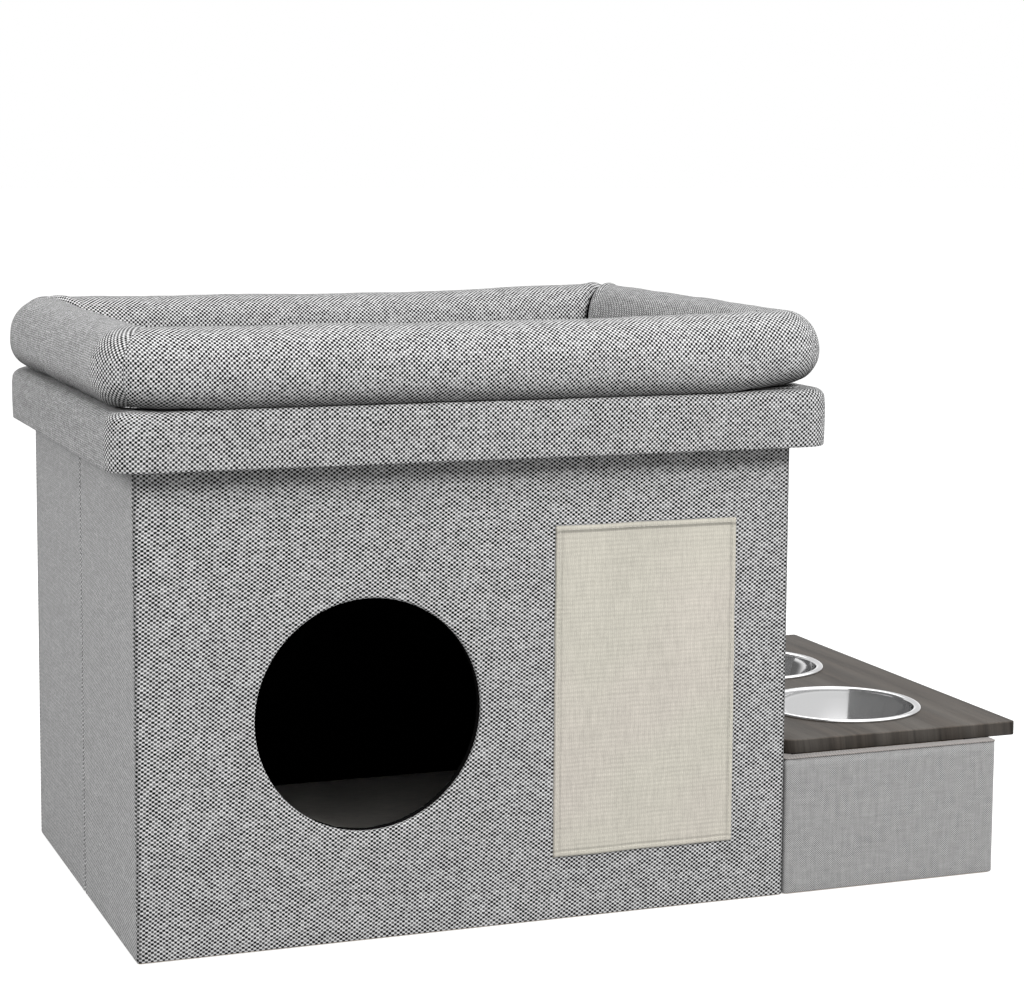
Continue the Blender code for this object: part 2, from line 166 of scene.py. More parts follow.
# ================================================================ materials
class Nodes:
    """One material's nodes. Values are output sockets or plain numbers."""

    def __init__(self, name, roughness=0.9, metallic=0.0, sheen=0.0, specular=0.3):
        self.material = bpy.data.materials.new(name)
        self.material.use_nodes = True
        self.tree = self.material.node_tree
        self.shader = self.tree.nodes["Principled BSDF"]
        self.shader.inputs["Roughness"].default_value = roughness
        self.shader.inputs["Metallic"].default_value = metallic
        self.shader.inputs["Specular IOR Level"].default_value = specular
        if sheen:
            self.shader.inputs["Sheen Weight"].default_value = sheen
            self.shader.inputs["Sheen Roughness"].default_value = 0.6

    def put(self, socket, value):
        if isinstance(value, bpy.types.NodeSocket):
            self.tree.links.new(value, socket)
        else:
            socket.default_value = value

    def calc(self, operation, *values, clamp=False):
        node = self.tree.nodes.new("ShaderNodeMath")
        node.operation = operation
        node.use_clamp = clamp
        for socket, value in zip(node.inputs, values):
            self.put(socket, value)
        return node.outputs[0]

    def add(self, a, b):
        return self.calc("ADD", a, b)

    def sub(self, a, b):
        return self.calc("SUBTRACT", a, b)

    def mul(self, a, b):
        return self.calc("MULTIPLY", a, b)

    def span(self, value, a, b, c=0.0, d=1.0, smooth=True):
        """value mapped from a..b to c..d, held at the ends."""
        node = self.tree.nodes.new("ShaderNodeMapRange")
        node.interpolation_type = "SMOOTHSTEP" if smooth else "LINEAR"
        for name, v in zip(("Value", "From Min", "From Max", "To Min", "To Max"), (value, a, b, c, d)):
            self.put(node.inputs[name], v)
        return node.outputs["Result"]

    def vector(self, x, y=0.0, z=0.0):
        node = self.tree.nodes.new("ShaderNodeCombineXYZ")
        for socket, value in zip(node.inputs, (x, y, z)):
            self.put(socket, value)
        return node.outputs[0]

    def parts(self, vector):
        node = self.tree.nodes.new("ShaderNodeSeparateXYZ")
        self.tree.links.new(vector, node.inputs[0])
        return node.outputs

    def uv(self):
        node = self.tree.nodes.new("ShaderNodeUVMap")
        node.uv_map = "weave"
        return node.outputs["UV"]

    def place(self):
        return self.tree.nodes.new("ShaderNodeTexCoord").outputs["Object"]

    def noise(self, vector, scale, detail=2.0, roughness=0.5, flat=False):
        node = self.tree.nodes.new("ShaderNodeTexNoise")
        node.noise_dimensions = "2D" if flat else "3D"
        self.tree.links.new(vector, node.inputs["Vector"])
        node.inputs["Scale"].default_value = scale
        node.inputs["Detail"].default_value = detail
        node.inputs["Roughness"].default_value = roughness
        return node.outputs[0]

    def dots(self, vector, scale, feature="F1", randomness=1.0):
        node = self.tree.nodes.new("ShaderNodeTexVoronoi")
        node.feature = feature
        self.tree.links.new(vector, node.inputs["Vector"])
        node.inputs["Scale"].default_value = scale
        node.inputs["Randomness"].default_value = randomness
        return node.outputs["Distance"]

    def chance(self, vector):
        """A random number from 0 to 1 for each whole-numbered place."""
        node = self.tree.nodes.new("ShaderNodeTexWhiteNoise")
        node.noise_dimensions = "3D"
        self.tree.links.new(vector, node.inputs["Vector"])
        return node.outputs["Value"]

    def blend(self, factor, a, b):
        node = self.tree.nodes.new("ShaderNodeMix")
        node.data_type = "RGBA"
        self.put(node.inputs[0], factor)
        for socket, value in ((node.inputs[6], a), (node.inputs[7], b)):
            self.put(socket, (*value, 1.0) if isinstance(value, tuple) else value)
        return node.outputs[2]

    def tint(self, colour, factor):
        """colour, a triple, times a varying factor."""
        node = self.tree.nodes.new("ShaderNodeVectorMath")
        node.operation = "SCALE"
        if isinstance(colour, tuple):
            node.inputs[0].default_value = colour
        else:
            self.tree.links.new(colour, node.inputs[0])
        self.put(node.inputs["Scale"], factor)
        return node.outputs[0]

    def finish(self, colour, height=None, distance=0.0003, strength=0.5, roughness=None):
        self.put(self.shader.inputs["Base Color"], (*colour, 1.0) if isinstance(colour, tuple) else colour)
        if roughness is not None:
            self.put(self.shader.inputs["Roughness"], roughness)
        if height is not None:
            bump = self.tree.nodes.new("ShaderNodeBump")
            bump.inputs["Strength"].default_value = strength
            bump.inputs["Distance"].default_value = distance
            self.tree.links.new(height, bump.inputs["Height"])
            self.tree.links.new(bump.outputs["Normal"], self.shader.inputs["Normal"])
        return self.material


def woven(name, p, q, bright=0.365, dark=0.003, seed=0.0, wobble=0.6, lean=0.0, seams=(), tuck=None):
    """Heavy plain weave: pale slubby threads with a dark gap at every other crossing. p and q are half the spacing of
    the gaps along u and v.
    lean is how far the warp leans from v. seams are places in u where the cloth is pulled dark by a seam: (u, half
    width, amount). tuck is painted shade: it darkens the cloth round its underside, on both sides, where a bolster's
    shade falls: (distance, distance where it ends, amount, girth)."""
    n = Nodes(name, roughness=0.95, specular=0.05)
    uv = n.uv()
    u, v, _ = n.parts(uv)
    across = u
    if lean:
        u = n.sub(u, n.mul(v, lean))
    drift = n.noise(n.vector(u, v, seed), 26.0, 1.0)
    drift2 = n.noise(n.vector(u, v, seed + 3.1), 31.0, 1.0)
    fine = n.noise(n.vector(u, v, seed + 5.3), 160.0, 1.0)
    u2 = n.add(u, n.mul(n.sub(n.add(drift, n.mul(fine, 0.35)), 0.67), 0.0042 * wobble))
    v2 = n.add(v, n.mul(n.sub(n.add(drift2, n.mul(fine, -0.25)), 0.37), 0.0034 * wobble))
    a = n.mul(u2, 1.0 / p)
    b = n.mul(v2, 1.0 / q)
    wave = n.mul(n.calc("COSINE", n.mul(a, math.pi)), n.calc("COSINE", n.mul(b, math.pi)))
    s = n.calc("ROUND", n.mul(n.add(a, b), 0.5))
    t = n.calc("ROUND", n.mul(n.sub(a, b), 0.5))
    each = n.chance(n.vector(s, t, seed))
    row = n.calc("ROUND", b)
    column = n.calc("ROUND", a)
    weft = n.chance(n.vector(row, 17.0, seed))
    warp = n.chance(n.vector(41.0, column, seed))
    slub = n.noise(n.vector(n.mul(u2, 55.0), n.mul(row, 3.7), seed), 1.0, 2.0)
    slub2 = n.noise(n.vector(n.mul(column, 2.9), n.mul(v2, 60.0), seed + 9.0), 1.0, 2.0)
    patch = n.noise(n.vector(u, v, seed + 1.7), 9.0, 3.0)
    # how open each gap is: irregular threads close some of them
    open_ = n.add(n.span(each, 0.0, 1.0, 0.88, 1.12, smooth=False), n.mul(n.sub(0.5, slub), 0.24))
    # the thread rounds away from its brightest line down into the gap
    gap = n.mul(n.span(wave, -0.99, 0.50), open_)
    gap = n.calc("MINIMUM", n.calc("MAXIMUM", gap, 0.0), 1.0)
    fibre = n.noise(n.vector(n.mul(u, 1.0), n.mul(v, 1.0), seed), 2300.0, 2.0)
    tone = n.add(0.95, n.mul(weft, 0.05))
    tone = n.add(tone, n.mul(warp, 0.05))
    tone = n.add(tone, n.mul(n.sub(slub, 0.5), 0.34))
    tone = n.add(tone, n.mul(n.sub(slub2, 0.5), 0.34))
    tone = n.add(tone, n.mul(n.sub(patch, 0.5), 0.06))
    tone = n.mul(tone, n.add(0.86, n.mul(fibre, 0.28)))
    # the weft stands proud between the columns of gaps, the warp is a little duller
    proud = n.sub(0.5, n.mul(n.calc("COSINE", n.mul(a, 2 * math.pi)), 0.5))
    dull = n.sub(0.5, n.mul(n.calc("COSINE", n.mul(b, 2 * math.pi)), 0.5))
    tone = n.mul(tone, n.add(0.80, n.sub(n.mul(proud, 0.64), n.mul(dull, 0.11))))
    for where, half, amount in seams:
        from_seam = n.calc("ABSOLUTE", n.sub(across, where))
        tone = n.mul(tone, n.span(from_seam, 0.0, half, 1.0 - amount, 1.0))
    # tuck: painted shade, the cloth made darker towards its underside, where shade falls under the bolster
    if tuck:
        from_shaded_underside = n.calc("MINIMUM", v, n.sub(tuck[3], v))
        tone = n.mul(tone, n.span(from_shaded_underside, tuck[0], tuck[1], 1.0 - tuck[2], 1.0))
    pale = n.tint((bright, bright, bright * 1.003), tone)
    colour = n.blend(gap, pale, (dark, dark, dark))
    height = n.add(n.mul(n.sub(1.0, gap), 1.0), n.add(n.mul(fibre, 0.25), n.mul(slub, 0.3)))
    return n.finish(colour, height, distance=0.0005, strength=0.35)


def fine_twill(name, bright=0.200, dark=0.042, pitch=0.00090, seed=0.0):
    """Fine grey cloth with a very small check of dots and soft slubs both ways."""
    n = Nodes(name, roughness=0.92, sheen=0.12, specular=0.18)
    u, v, _ = n.parts(n.uv())
    fine = n.noise(n.vector(u, v, seed), 90.0, 2.0)
    u2 = n.add(u, n.mul(n.sub(fine, 0.5), 0.0011))
    v2 = n.add(v, n.mul(n.sub(fine, 0.5), -0.0009))
    a = n.mul(u2, math.pi / pitch)
    b = n.mul(v2, math.pi / (pitch * 0.92))
    wave = n.mul(n.calc("COSINE", a), n.calc("COSINE", b))
    slub = n.noise(n.vector(n.mul(u, 60.0), n.mul(v, 520.0), seed), 1.0, 2.0)
    slub2 = n.noise(n.vector(n.mul(u, 420.0), n.mul(v, 38.0), seed), 1.0, 2.0)
    patch = n.noise(n.vector(u, v, seed + 4.0), 150.0, 2.0)
    fibre = n.noise(n.vector(u, v, seed), 2600.0, 2.0)
    mix = n.mul(wave, 0.85)
    mix = n.add(mix, n.mul(n.sub(slub, 0.5), 0.38))
    mix = n.add(mix, n.mul(n.sub(slub2, 0.5), 0.50))
    mix = n.add(mix, n.mul(n.sub(patch, 0.5), 0.35))
    mix = n.add(mix, n.mul(n.sub(fibre, 0.5), 0.7))
    gap = n.span(mix, -0.50, 0.56, smooth=False)
    colour = n.blend(gap, (bright, bright * 0.995, bright * 0.985), (dark, dark, dark))
    return n.finish(colour, n.sub(1.0, gap), distance=0.0003, strength=0.35)


def sisal_sheet(name, wide=0.151, tall=0.257, hem=0.0046):
    """Cream plaited sheet: upright strands, faint rows, and a groove where the hem is sewn down, painted darker as
    painted shade, most along the top.
    """
    n = Nodes(name, roughness=0.88, sheen=0.08, specular=0.2)
    u, v, _ = n.parts(n.uv())
    strand = n.noise(n.vector(n.mul(u, 520.0), n.mul(v, 60.0), 0.0), 1.0, 2.0)
    row = n.noise(n.vector(n.mul(u, 16.0), n.mul(v, 300.0), 2.0), 1.0, 2.0)
    broad = n.noise(n.vector(n.mul(u, 30.0), n.mul(v, 6.0), 4.0), 1.0, 2.0)
    patch = n.noise(n.vector(u, v, 7.0), 7.0, 2.0)
    fibre = n.noise(n.vector(n.mul(u, 3000.0), n.mul(v, 900.0), 1.0), 1.0, 2.0)
    loose = n.noise(n.vector(n.mul(u, 70.0), n.mul(v, 150.0), 9.0), 1.0, 2.0)
    looser = n.noise(n.vector(n.mul(u, 55.0), n.mul(v, 90.0), 12.0), 1.0, 2.0)
    dash = n.calc("COSINE", n.mul(n.add(u, n.mul(n.sub(loose, 0.5), 0.0030)), 2 * math.pi / 0.00165))
    rows_ = n.calc("COSINE", n.mul(n.add(v, n.mul(n.sub(looser, 0.5), 0.0030)), 2 * math.pi / 0.0034))
    tone = n.add(0.97, n.mul(n.mul(dash, n.add(0.65, n.mul(rows_, 0.35))), 0.10))
    tone = n.add(tone, n.mul(rows_, 0.045))
    tone = n.add(tone, n.mul(n.sub(strand, 0.5), 0.34))
    tone = n.add(tone, n.mul(n.sub(row, 0.5), 0.16))
    tone = n.add(tone, n.mul(n.sub(broad, 0.5), 0.20))
    tone = n.add(tone, n.mul(n.sub(fibre, 0.5), 0.50))
    # painted shade in the hem's groove: darkest along the top, less along the bottom and sides
    for edge, amount in ((n.sub(tall, v), 0.42), (v, 0.16), (u, 0.10), (n.sub(wide, u), 0.14)):
        from_hem_shade = n.calc("ABSOLUTE", n.sub(edge, hem + 0.0004))
        tone = n.mul(tone, n.span(from_hem_shade, 0.0003, 0.0015, 1.0 - amount, 1.0))
    base = n.blend(n.span(patch, 0.35, 0.65), (0.232, 0.222, 0.191), (0.237, 0.220, 0.195))
    return n.finish(n.tint(base, tone), n.add(strand, n.mul(fibre, 0.5)), distance=0.0003, strength=0.35)


def black_cloth(name, shade=0.0022):
    """Thin non-woven lining with fine pressed dots."""
    n = Nodes(name, roughness=1.0, specular=0.0)
    where = n.place()
    dots = n.dots(where, 420.0, randomness=0.15)
    fibre = n.noise(where, 900.0, 3.0)
    tone = n.add(n.mul(fibre, 1.1), n.span(dots, 0.1, 0.45, 0.2, 0.7))
    return n.finish(n.tint((shade, shade, shade), tone), tone, distance=0.0002, strength=0.4)


def brushed_mat(name):
    """Short-pile cloth of the inner mat, dark in itself; its colour is painted lighter, as painted light for the light
    that reaches inside the box.
    """
    n = Nodes(name, roughness=0.95, sheen=0.25, specular=0.1)
    where = n.place()
    x, y, z = n.parts(where)
    hair = n.noise(n.vector(n.mul(x, 90.0), n.mul(y, 900.0), n.mul(z, 900.0)), 1.0, 3.0)
    broad = n.noise(where, 18.0, 3.0)
    fibre = n.noise(where, 1500.0, 2.0)
    tone = n.add(0.70, n.mul(n.sub(hair, 0.5), 0.9))
    tone = n.add(tone, n.mul(n.sub(broad, 0.5), 0.5))
    tone = n.add(tone, n.mul(fibre, 0.5))
    # painted light: this tint is lighter than the dark cloth, standing in for light inside the box
    return n.finish(n.tint((0.36, 0.34, 0.305), tone), n.add(hair, n.mul(fibre, 0.6)), distance=0.0007, strength=0.6)


def wood(name):
    """Dark grey-brown laminate, its grain running front to back; the cut edges are more streaked, and painted darker
    than the top, which is painted shade.
    """
    n = Nodes(name, roughness=0.55, specular=0.16)
    x, y, z = n.parts(n.place())
    bend = n.noise(n.vector(n.mul(x, 9.0), n.mul(y, 2.4), 0.0), 1.0, 2.0)
    across = n.add(n.add(x, n.mul(z, 0.12)), n.mul(n.sub(bend, 0.5), 0.022))
    broad = n.noise(n.vector(n.mul(across, 42.0), n.mul(y, 1.6), n.mul(z, 2.0)), 1.0, 3.0)
    grain = n.noise(n.vector(n.mul(across, 260.0), n.mul(y, 5.0), n.mul(z, 6.0)), 1.0, 4.0, 0.6)
    pores = n.noise(n.vector(n.mul(across, 1500.0), n.mul(y, 28.0), n.mul(z, 30.0)), 1.0, 2.0, 0.6)
    ring = n.calc("FRACT", n.mul(n.add(across, n.mul(broad, 0.02)), 46.0))
    ring = n.mul(n.calc("ABSOLUTE", n.sub(ring, 0.5)), 2.0)
    # edge: the cut edges below the top face, which get more pores and painted shade
    edge = n.span(z, TOP_Z1 - 0.0014, TOP_Z1 - 0.0006, 1.0, 0.0)
    tone = n.mul(n.sub(broad, 0.5), 0.85)
    tone = n.add(tone, n.mul(n.sub(grain, 0.5), 0.80))
    tone = n.add(tone, n.mul(n.sub(ring, 0.5), 0.12))
    tone = n.add(tone, n.mul(n.mul(n.sub(pores, 0.5), edge), 0.7))
    # painted shade: the cut edges are made darker than the top
    tone = n.add(n.sub(0.60, n.mul(edge, 0.24)), n.mul(tone, n.sub(1.0, n.mul(edge, 0.30))))
    pore = n.span(pores, 0.56, 0.72)
    tone = n.calc("MAXIMUM", n.sub(tone, n.mul(pore, 0.22)), 0.10)
    warm = n.blend(n.span(broad, 0.35, 0.65), (0.066, 0.055, 0.046), (0.066, 0.059, 0.052))
    colour = n.tint(warm, tone)
    rough = n.add(0.48, n.mul(grain, 0.16))
    return n.finish(colour, n.sub(n.mul(grain, 0.5), n.mul(pore, 0.8)), distance=0.0002, strength=0.25, roughness=rough)


def fibreboard(name, colour=(0.33, 0.235, 0.15)):
    n = Nodes(name, roughness=0.82, specular=0.25)
    where = n.place()
    speck = n.noise(where, 700.0, 4.0, 0.7)
    broad = n.noise(where, 30.0, 3.0)
    chip = n.dots(where, 240.0)
    tone = n.add(0.72, n.mul(speck, 0.40))
    tone = n.add(tone, n.mul(n.sub(broad, 0.5), 0.25))
    tone = n.add(tone, n.mul(n.span(chip, 0.0, 0.5), 0.12))
    return n.finish(n.tint(colour, tone), speck, distance=0.0002, strength=0.3)


def black_board(name):
    """Base board in black paper."""
    n = Nodes(name, roughness=0.7, specular=0.3)
    where = n.place()
    speck = n.noise(where, 500.0, 4.0, 0.7)
    broad = n.noise(where, 14.0, 3.0)
    tone = n.add(0.6, n.add(n.mul(speck, 0.5), n.mul(broad, 0.3)))
    return n.finish(n.tint((0.014, 0.014, 0.014), tone), speck, distance=0.0002, strength=0.3, roughness=n.add(0.6, n.mul(broad, 0.2)))


def foam(name):
    n = Nodes(name, roughness=0.95, specular=0.1)
    where = n.place()
    cell = n.dots(where, 850.0)
    broad = n.noise(where, 20.0, 2.0)
    tone = n.add(0.78, n.add(n.mul(n.span(cell, 0.0, 0.55), 0.2), n.mul(n.sub(broad, 0.5), 0.12)))
    return n.finish(n.tint((0.80, 0.77, 0.66), tone), cell, distance=0.0006, strength=0.6)


def steel(name):
    """Polished pressed steel with faint turning marks and wear."""
    n = Nodes(name, roughness=0.08, metallic=1.0, specular=0.5)
    where = n.place()
    cloud = n.noise(where, 22.0, 3.0)
    fine = n.noise(where, 420.0, 2.0)
    tone = n.add(0.95, n.mul(n.sub(cloud, 0.5), 0.05))
    rough = n.add(0.055, n.add(n.mul(cloud, 0.05), n.mul(fine, 0.02)))
    return n.finish(n.tint((0.80, 0.80, 0.805), tone), fine, distance=0.00001, strength=0.05, roughness=rough)


def zinc(name):
    n = Nodes(name, roughness=0.35, metallic=1.0)
    where = n.place()
    cloud = n.noise(where, 300.0, 3.0)
    return n.finish(n.tint((0.56, 0.56, 0.58), n.add(0.8, n.mul(cloud, 0.4))), cloud, distance=0.0001, strength=0.2, roughness=n.add(0.25, n.mul(cloud, 0.25)))


def rim_cloth(name):
    """Pinkish-grey binding with a fine rib."""
    n = Nodes(name, roughness=0.9, sheen=0.15, specular=0.2)
    u, v, _ = n.parts(n.uv())
    rib = n.calc("SINE", n.mul(u, 2 * math.pi / 0.0026))
    slub = n.noise(n.vector(n.mul(u, 200.0), n.mul(v, 700.0), 0.0), 1.0, 3.0)
    tone = n.add(0.86, n.add(n.mul(rib, 0.22), n.mul(n.sub(slub, 0.5), 0.7)))
    hue = n.blend(slub, (0.112, 0.100, 0.093), (0.114, 0.105, 0.099))
    return n.finish(n.tint(hue, tone), n.add(rib, slub), distance=0.0002, strength=0.4)


def thread(name, shade):
    n = Nodes(name, roughness=0.8, sheen=0.2, specular=0.25)
    where = n.place()
    twist = n.noise(where, 2200.0, 2.0)
    return n.finish(n.tint(shade, n.add(0.75, n.mul(twist, 0.5))), twist, distance=0.0001, strength=0.4)


HOUSE_CLOTH = woven("woven_house", 0.002133, 0.001578, seed=1.0, lean=0.036, seams=((0.0008, 0.0030, 0.45), (W - 0.0008, 0.0030, 0.45)))
SIDE_CLOTH = woven("woven_side", 0.002133, 0.001578, bright=0.262, dark=0.080, seed=1.0, lean=0.036)
LID_CLOTH = woven("woven_lid", 0.00190, 0.001717, bright=0.355, seed=2.0, lean=0.035)
# the bolsters' cloth carries painted shade round the underside of all four bolsters (tuck)
BOLSTER_CLOTH = woven("woven_bolster", 0.00182, 0.001715, bright=0.381, seed=3.0, tuck=(0.020, 0.042, 0.62, 0.186))
BED_CLOTH = woven("woven_bed", 0.00182, 0.001715, seed=4.0)
FEEDER_CLOTH = fine_twill("twill_feeder", seed=5.0)
SISAL = sisal_sheet("sisal_sheet")
SISAL_THREAD = thread("sisal_thread", (0.27, 0.258, 0.222))
DARK_THREAD = thread("dark_thread", (0.05, 0.05, 0.05))
BLACK = black_cloth("black_lining")
MAT_PILE = brushed_mat("mat_pile")
WOOD = wood("dark_wood")
BOARD = fibreboard("fibreboard")
BASE = black_board("black_board")
FOAM = foam("foam")
STEEL = steel("polished_steel")
ZINC = zinc("zinc")
RIM = rim_cloth("rim_cloth")


# ================================================================ meshes
class Skin:
    """Gathers grids of points, with their cloth coordinates, into one mesh."""

    def __init__(self):
        self.points, self.faces, self.uvs = [], [], []
        self.count = 0

    def add(self, p, uv=None, wrap=(False, False), flip=False):
        p = np.asarray(p, float)
        n, m = p.shape[:2]
        if uv is None:
            uv = np.zeros((n + wrap[0], m + wrap[1], 2))
        base = self.count
        self.points.append(p.reshape(-1, 3))
        self.count += n * m
        i, j = np.meshgrid(np.arange(n if wrap[0] else n - 1), np.arange(m if wrap[1] else m - 1), indexing="ij")
        i2, j2 = (i + 1) % n, (j + 1) % m
        quads = np.stack([base + i * m + j, base + i2 * m + j, base + i2 * m + j2, base + i * m + j2], -1).reshape(-1, 4)
        corner = np.stack([uv[i, j], uv[i + 1, j], uv[i + 1, j + 1], uv[i, j + 1]], -2).reshape(-1, 4, 2)
        if flip:
            quads, corner = quads[:, ::-1], corner[:, ::-1]
        self.faces += quads.tolist()
        self.uvs.append(corner.reshape(-1, 2))
        return base

    def polygon(self, indices, uv):
        self.faces.append(list(indices))
        self.uvs.append(np.asarray(uv, float).reshape(-1, 2))

    def build(self, name, material, body, smooth=True, sharp=None, weld=2e-6, outward=False):
        mesh = bpy.data.meshes.new(name)
        points = np.concatenate(self.points) + SHIFT
        mesh.from_pydata(points.tolist(), [], self.faces)
        layer = mesh.uv_layers.new(name="weave")
        layer.data.foreach_set("uv", np.concatenate(self.uvs).astype(np.float32).ravel())
        bm = bmesh.new()
        bm.from_mesh(mesh)
        if weld:
            bmesh.ops.remove_doubles(bm, verts=bm.verts[:], dist=weld)
            bmesh.ops.dissolve_degenerate(bm, dist=1e-7, edges=bm.edges[:])
        if outward:
            bmesh.ops.recalc_face_normals(bm, faces=bm.faces[:])
        bm.to_mesh(mesh)
        bm.free()
        mesh.materials.append(material)
        piece = bpy.data.objects.new(name, mesh)
        scene.collection.objects.link(piece)
        if smooth:
            mesh.shade_smooth()
            if sharp:
                mesh.set_sharp_from_angle(angle=math.radians(sharp))
        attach(piece, body)
        return piece


def thicken(piece, amount, rim=True):
    """Gives a sheet its thickness, inwards."""
    m = piece.modifiers.new("cloth", "SOLIDIFY")
    m.thickness = amount
    m.offset = -1.0
    m.use_rim = rim
    m.use_quality_normals = True
    return piece


def smooth_subdivide(piece, levels=1):
    m = piece.modifiers.new("fine", "SUBSURF")
    m.levels = m.render_levels = levels
    return m


def outline(rect, radii, inset, corner_steps, side_steps):
    """Points round an inset rounded rectangle, anticlockwise from where the front left corner's arc starts."""
    if not isinstance(radii, tuple):
        radii = (radii,) * 4
    x0, x1, y0, y1 = rect[0] + inset, rect[1] - inset, rect[2] + inset, rect[3] - inset
    fl, fr, br, bl = (max(r - inset, 1e-5) for r in radii)
    corners = ((x0 + fl, y0 + fl, fl, 180), (x1 - fr, y0 + fr, fr, 270), (x1 - br, y1 - br, br, 0), (x0 + bl, y1 - bl, bl, 90))
    arcs = []
    for cx, cy, r, start in corners:
        a = np.radians(start + 90 * np.arange(corner_steps + 1) / corner_steps)
        arcs.append(np.stack([cx + r * np.cos(a), cy + r * np.sin(a)], -1))
    points = []
    for k, arc in enumerate(arcs):
        points.append(arc)
        a, b = arc[-1], arcs[(k + 1) % 4][0]
        f = (np.arange(1, side_steps) / side_steps)[:, None]
        points.append(a + (b - a) * f)
    return np.concatenate(points)


def along(points):
    """Distance round a closed outline to each point, with the whole length at the end."""
    step = np.linalg.norm(np.diff(np.vstack([points, points[:1]]), axis=0), axis=1)
    return np.concatenate([[0.0], np.cumsum(step)])


def band(rect, radii, profile, corner_steps=8, side_steps=24, wrap_profile=False):
    """Loops round a rectangle for a profile of (inset, z): points, and coordinates (distance round, distance along the profile)."""
    loops, spots = [], []
    round_ = along(outline(rect, radii, 0.0, corner_steps, side_steps))
    run = 0.0
    last = None
    for inset, z in profile:
        if last is not None:
            run += math.hypot(inset - last[0], z - last[1])
        last = (inset, z)
        loop = outline(rect, radii, inset, corner_steps, side_steps)
        loops.append(np.column_stack([loop, np.full(len(loop), z)]))
        spots.append(np.column_stack([round_, np.full(len(round_), run)]))
    if wrap_profile:
        run += math.hypot(profile[0][0] - last[0], profile[0][1] - last[1])
        spots.append(np.column_stack([round_, np.full(len(round_), run)]))
    return np.array(loops), np.array(spots)


def value_noise(points, scale, seed):
    """Smooth random field over points (n, k), between -1 and 1, from a few seeded waves."""
    r = np.random.default_rng(seed)
    points = np.asarray(points, float)
    total = np.zeros(points.shape[:-1])
    for _ in range(10):
        direction = r.normal(size=points.shape[-1])
        direction *= r.uniform(0.5, 1.5) / np.linalg.norm(direction)
        total += np.sin(points @ direction * 2 * math.pi / scale + r.uniform(0, 2 * math.pi))
    return total / 10 * 1.6


def stitches(name, path, normal, body, material, length=0.0030, pitch=0.0045, radius=0.00032, lift=0.0001, arch=0.0002):
    """Sewing along path (points in order): each stitch a short bowed thread lying on the cloth."""
    path = np.asarray(path, float)
    seg = np.linalg.norm(np.diff(path, axis=0), axis=1)
    dist = np.concatenate([[0.0], np.cumsum(seg)])
    normal = np.asarray(normal, float)
    skin = Skin()
    count = int((dist[-1] - length) / pitch) + 1
    start = (dist[-1] - (count - 1) * pitch - length) / 2
    sides, steps = 6, 5
    for k in range(count):
        s = start + k * pitch + length * np.linspace(0, 1, steps + 1)
        centre = np.stack([np.interp(s, dist, path[:, c]) for c in range(3)], -1)
        f = np.linspace(-1, 1, steps + 1)
        swell = np.sqrt(np.clip(1 - (np.abs(f) * 0.96) ** 4, 0.0, 1.0))
        t = centre[-1] - centre[0]
        t /= np.linalg.norm(t)
        out = normal - t * (normal @ t)
        out /= np.linalg.norm(out)
        side = np.cross(t, out)
        centre = centre + out * (lift + arch * (1 - f**2) - (1 - swell) * radius)[:, None]
        a = 2 * math.pi * np.arange(sides) / sides
        ringp = centre[:, None] + radius * swell[:, None, None] * (np.cos(a)[None, :, None] * out + np.sin(a)[None, :, None] * side)
        base = skin.add(ringp, wrap=(False, True))
        skin.polygon([base + j for j in range(sides)][::-1], np.zeros((sides, 2)))
        skin.polygon([base + steps * sides + j for j in range(sides)], np.zeros((sides, 2)))
    return skin.build(name, material, body, weld=0, outward=True)


def coordinates(mesh, what="co"):
    values = np.empty(len(mesh.vertices) * 3)
    mesh.vertices.foreach_get(what, values)
    return values.reshape(-1, 3)


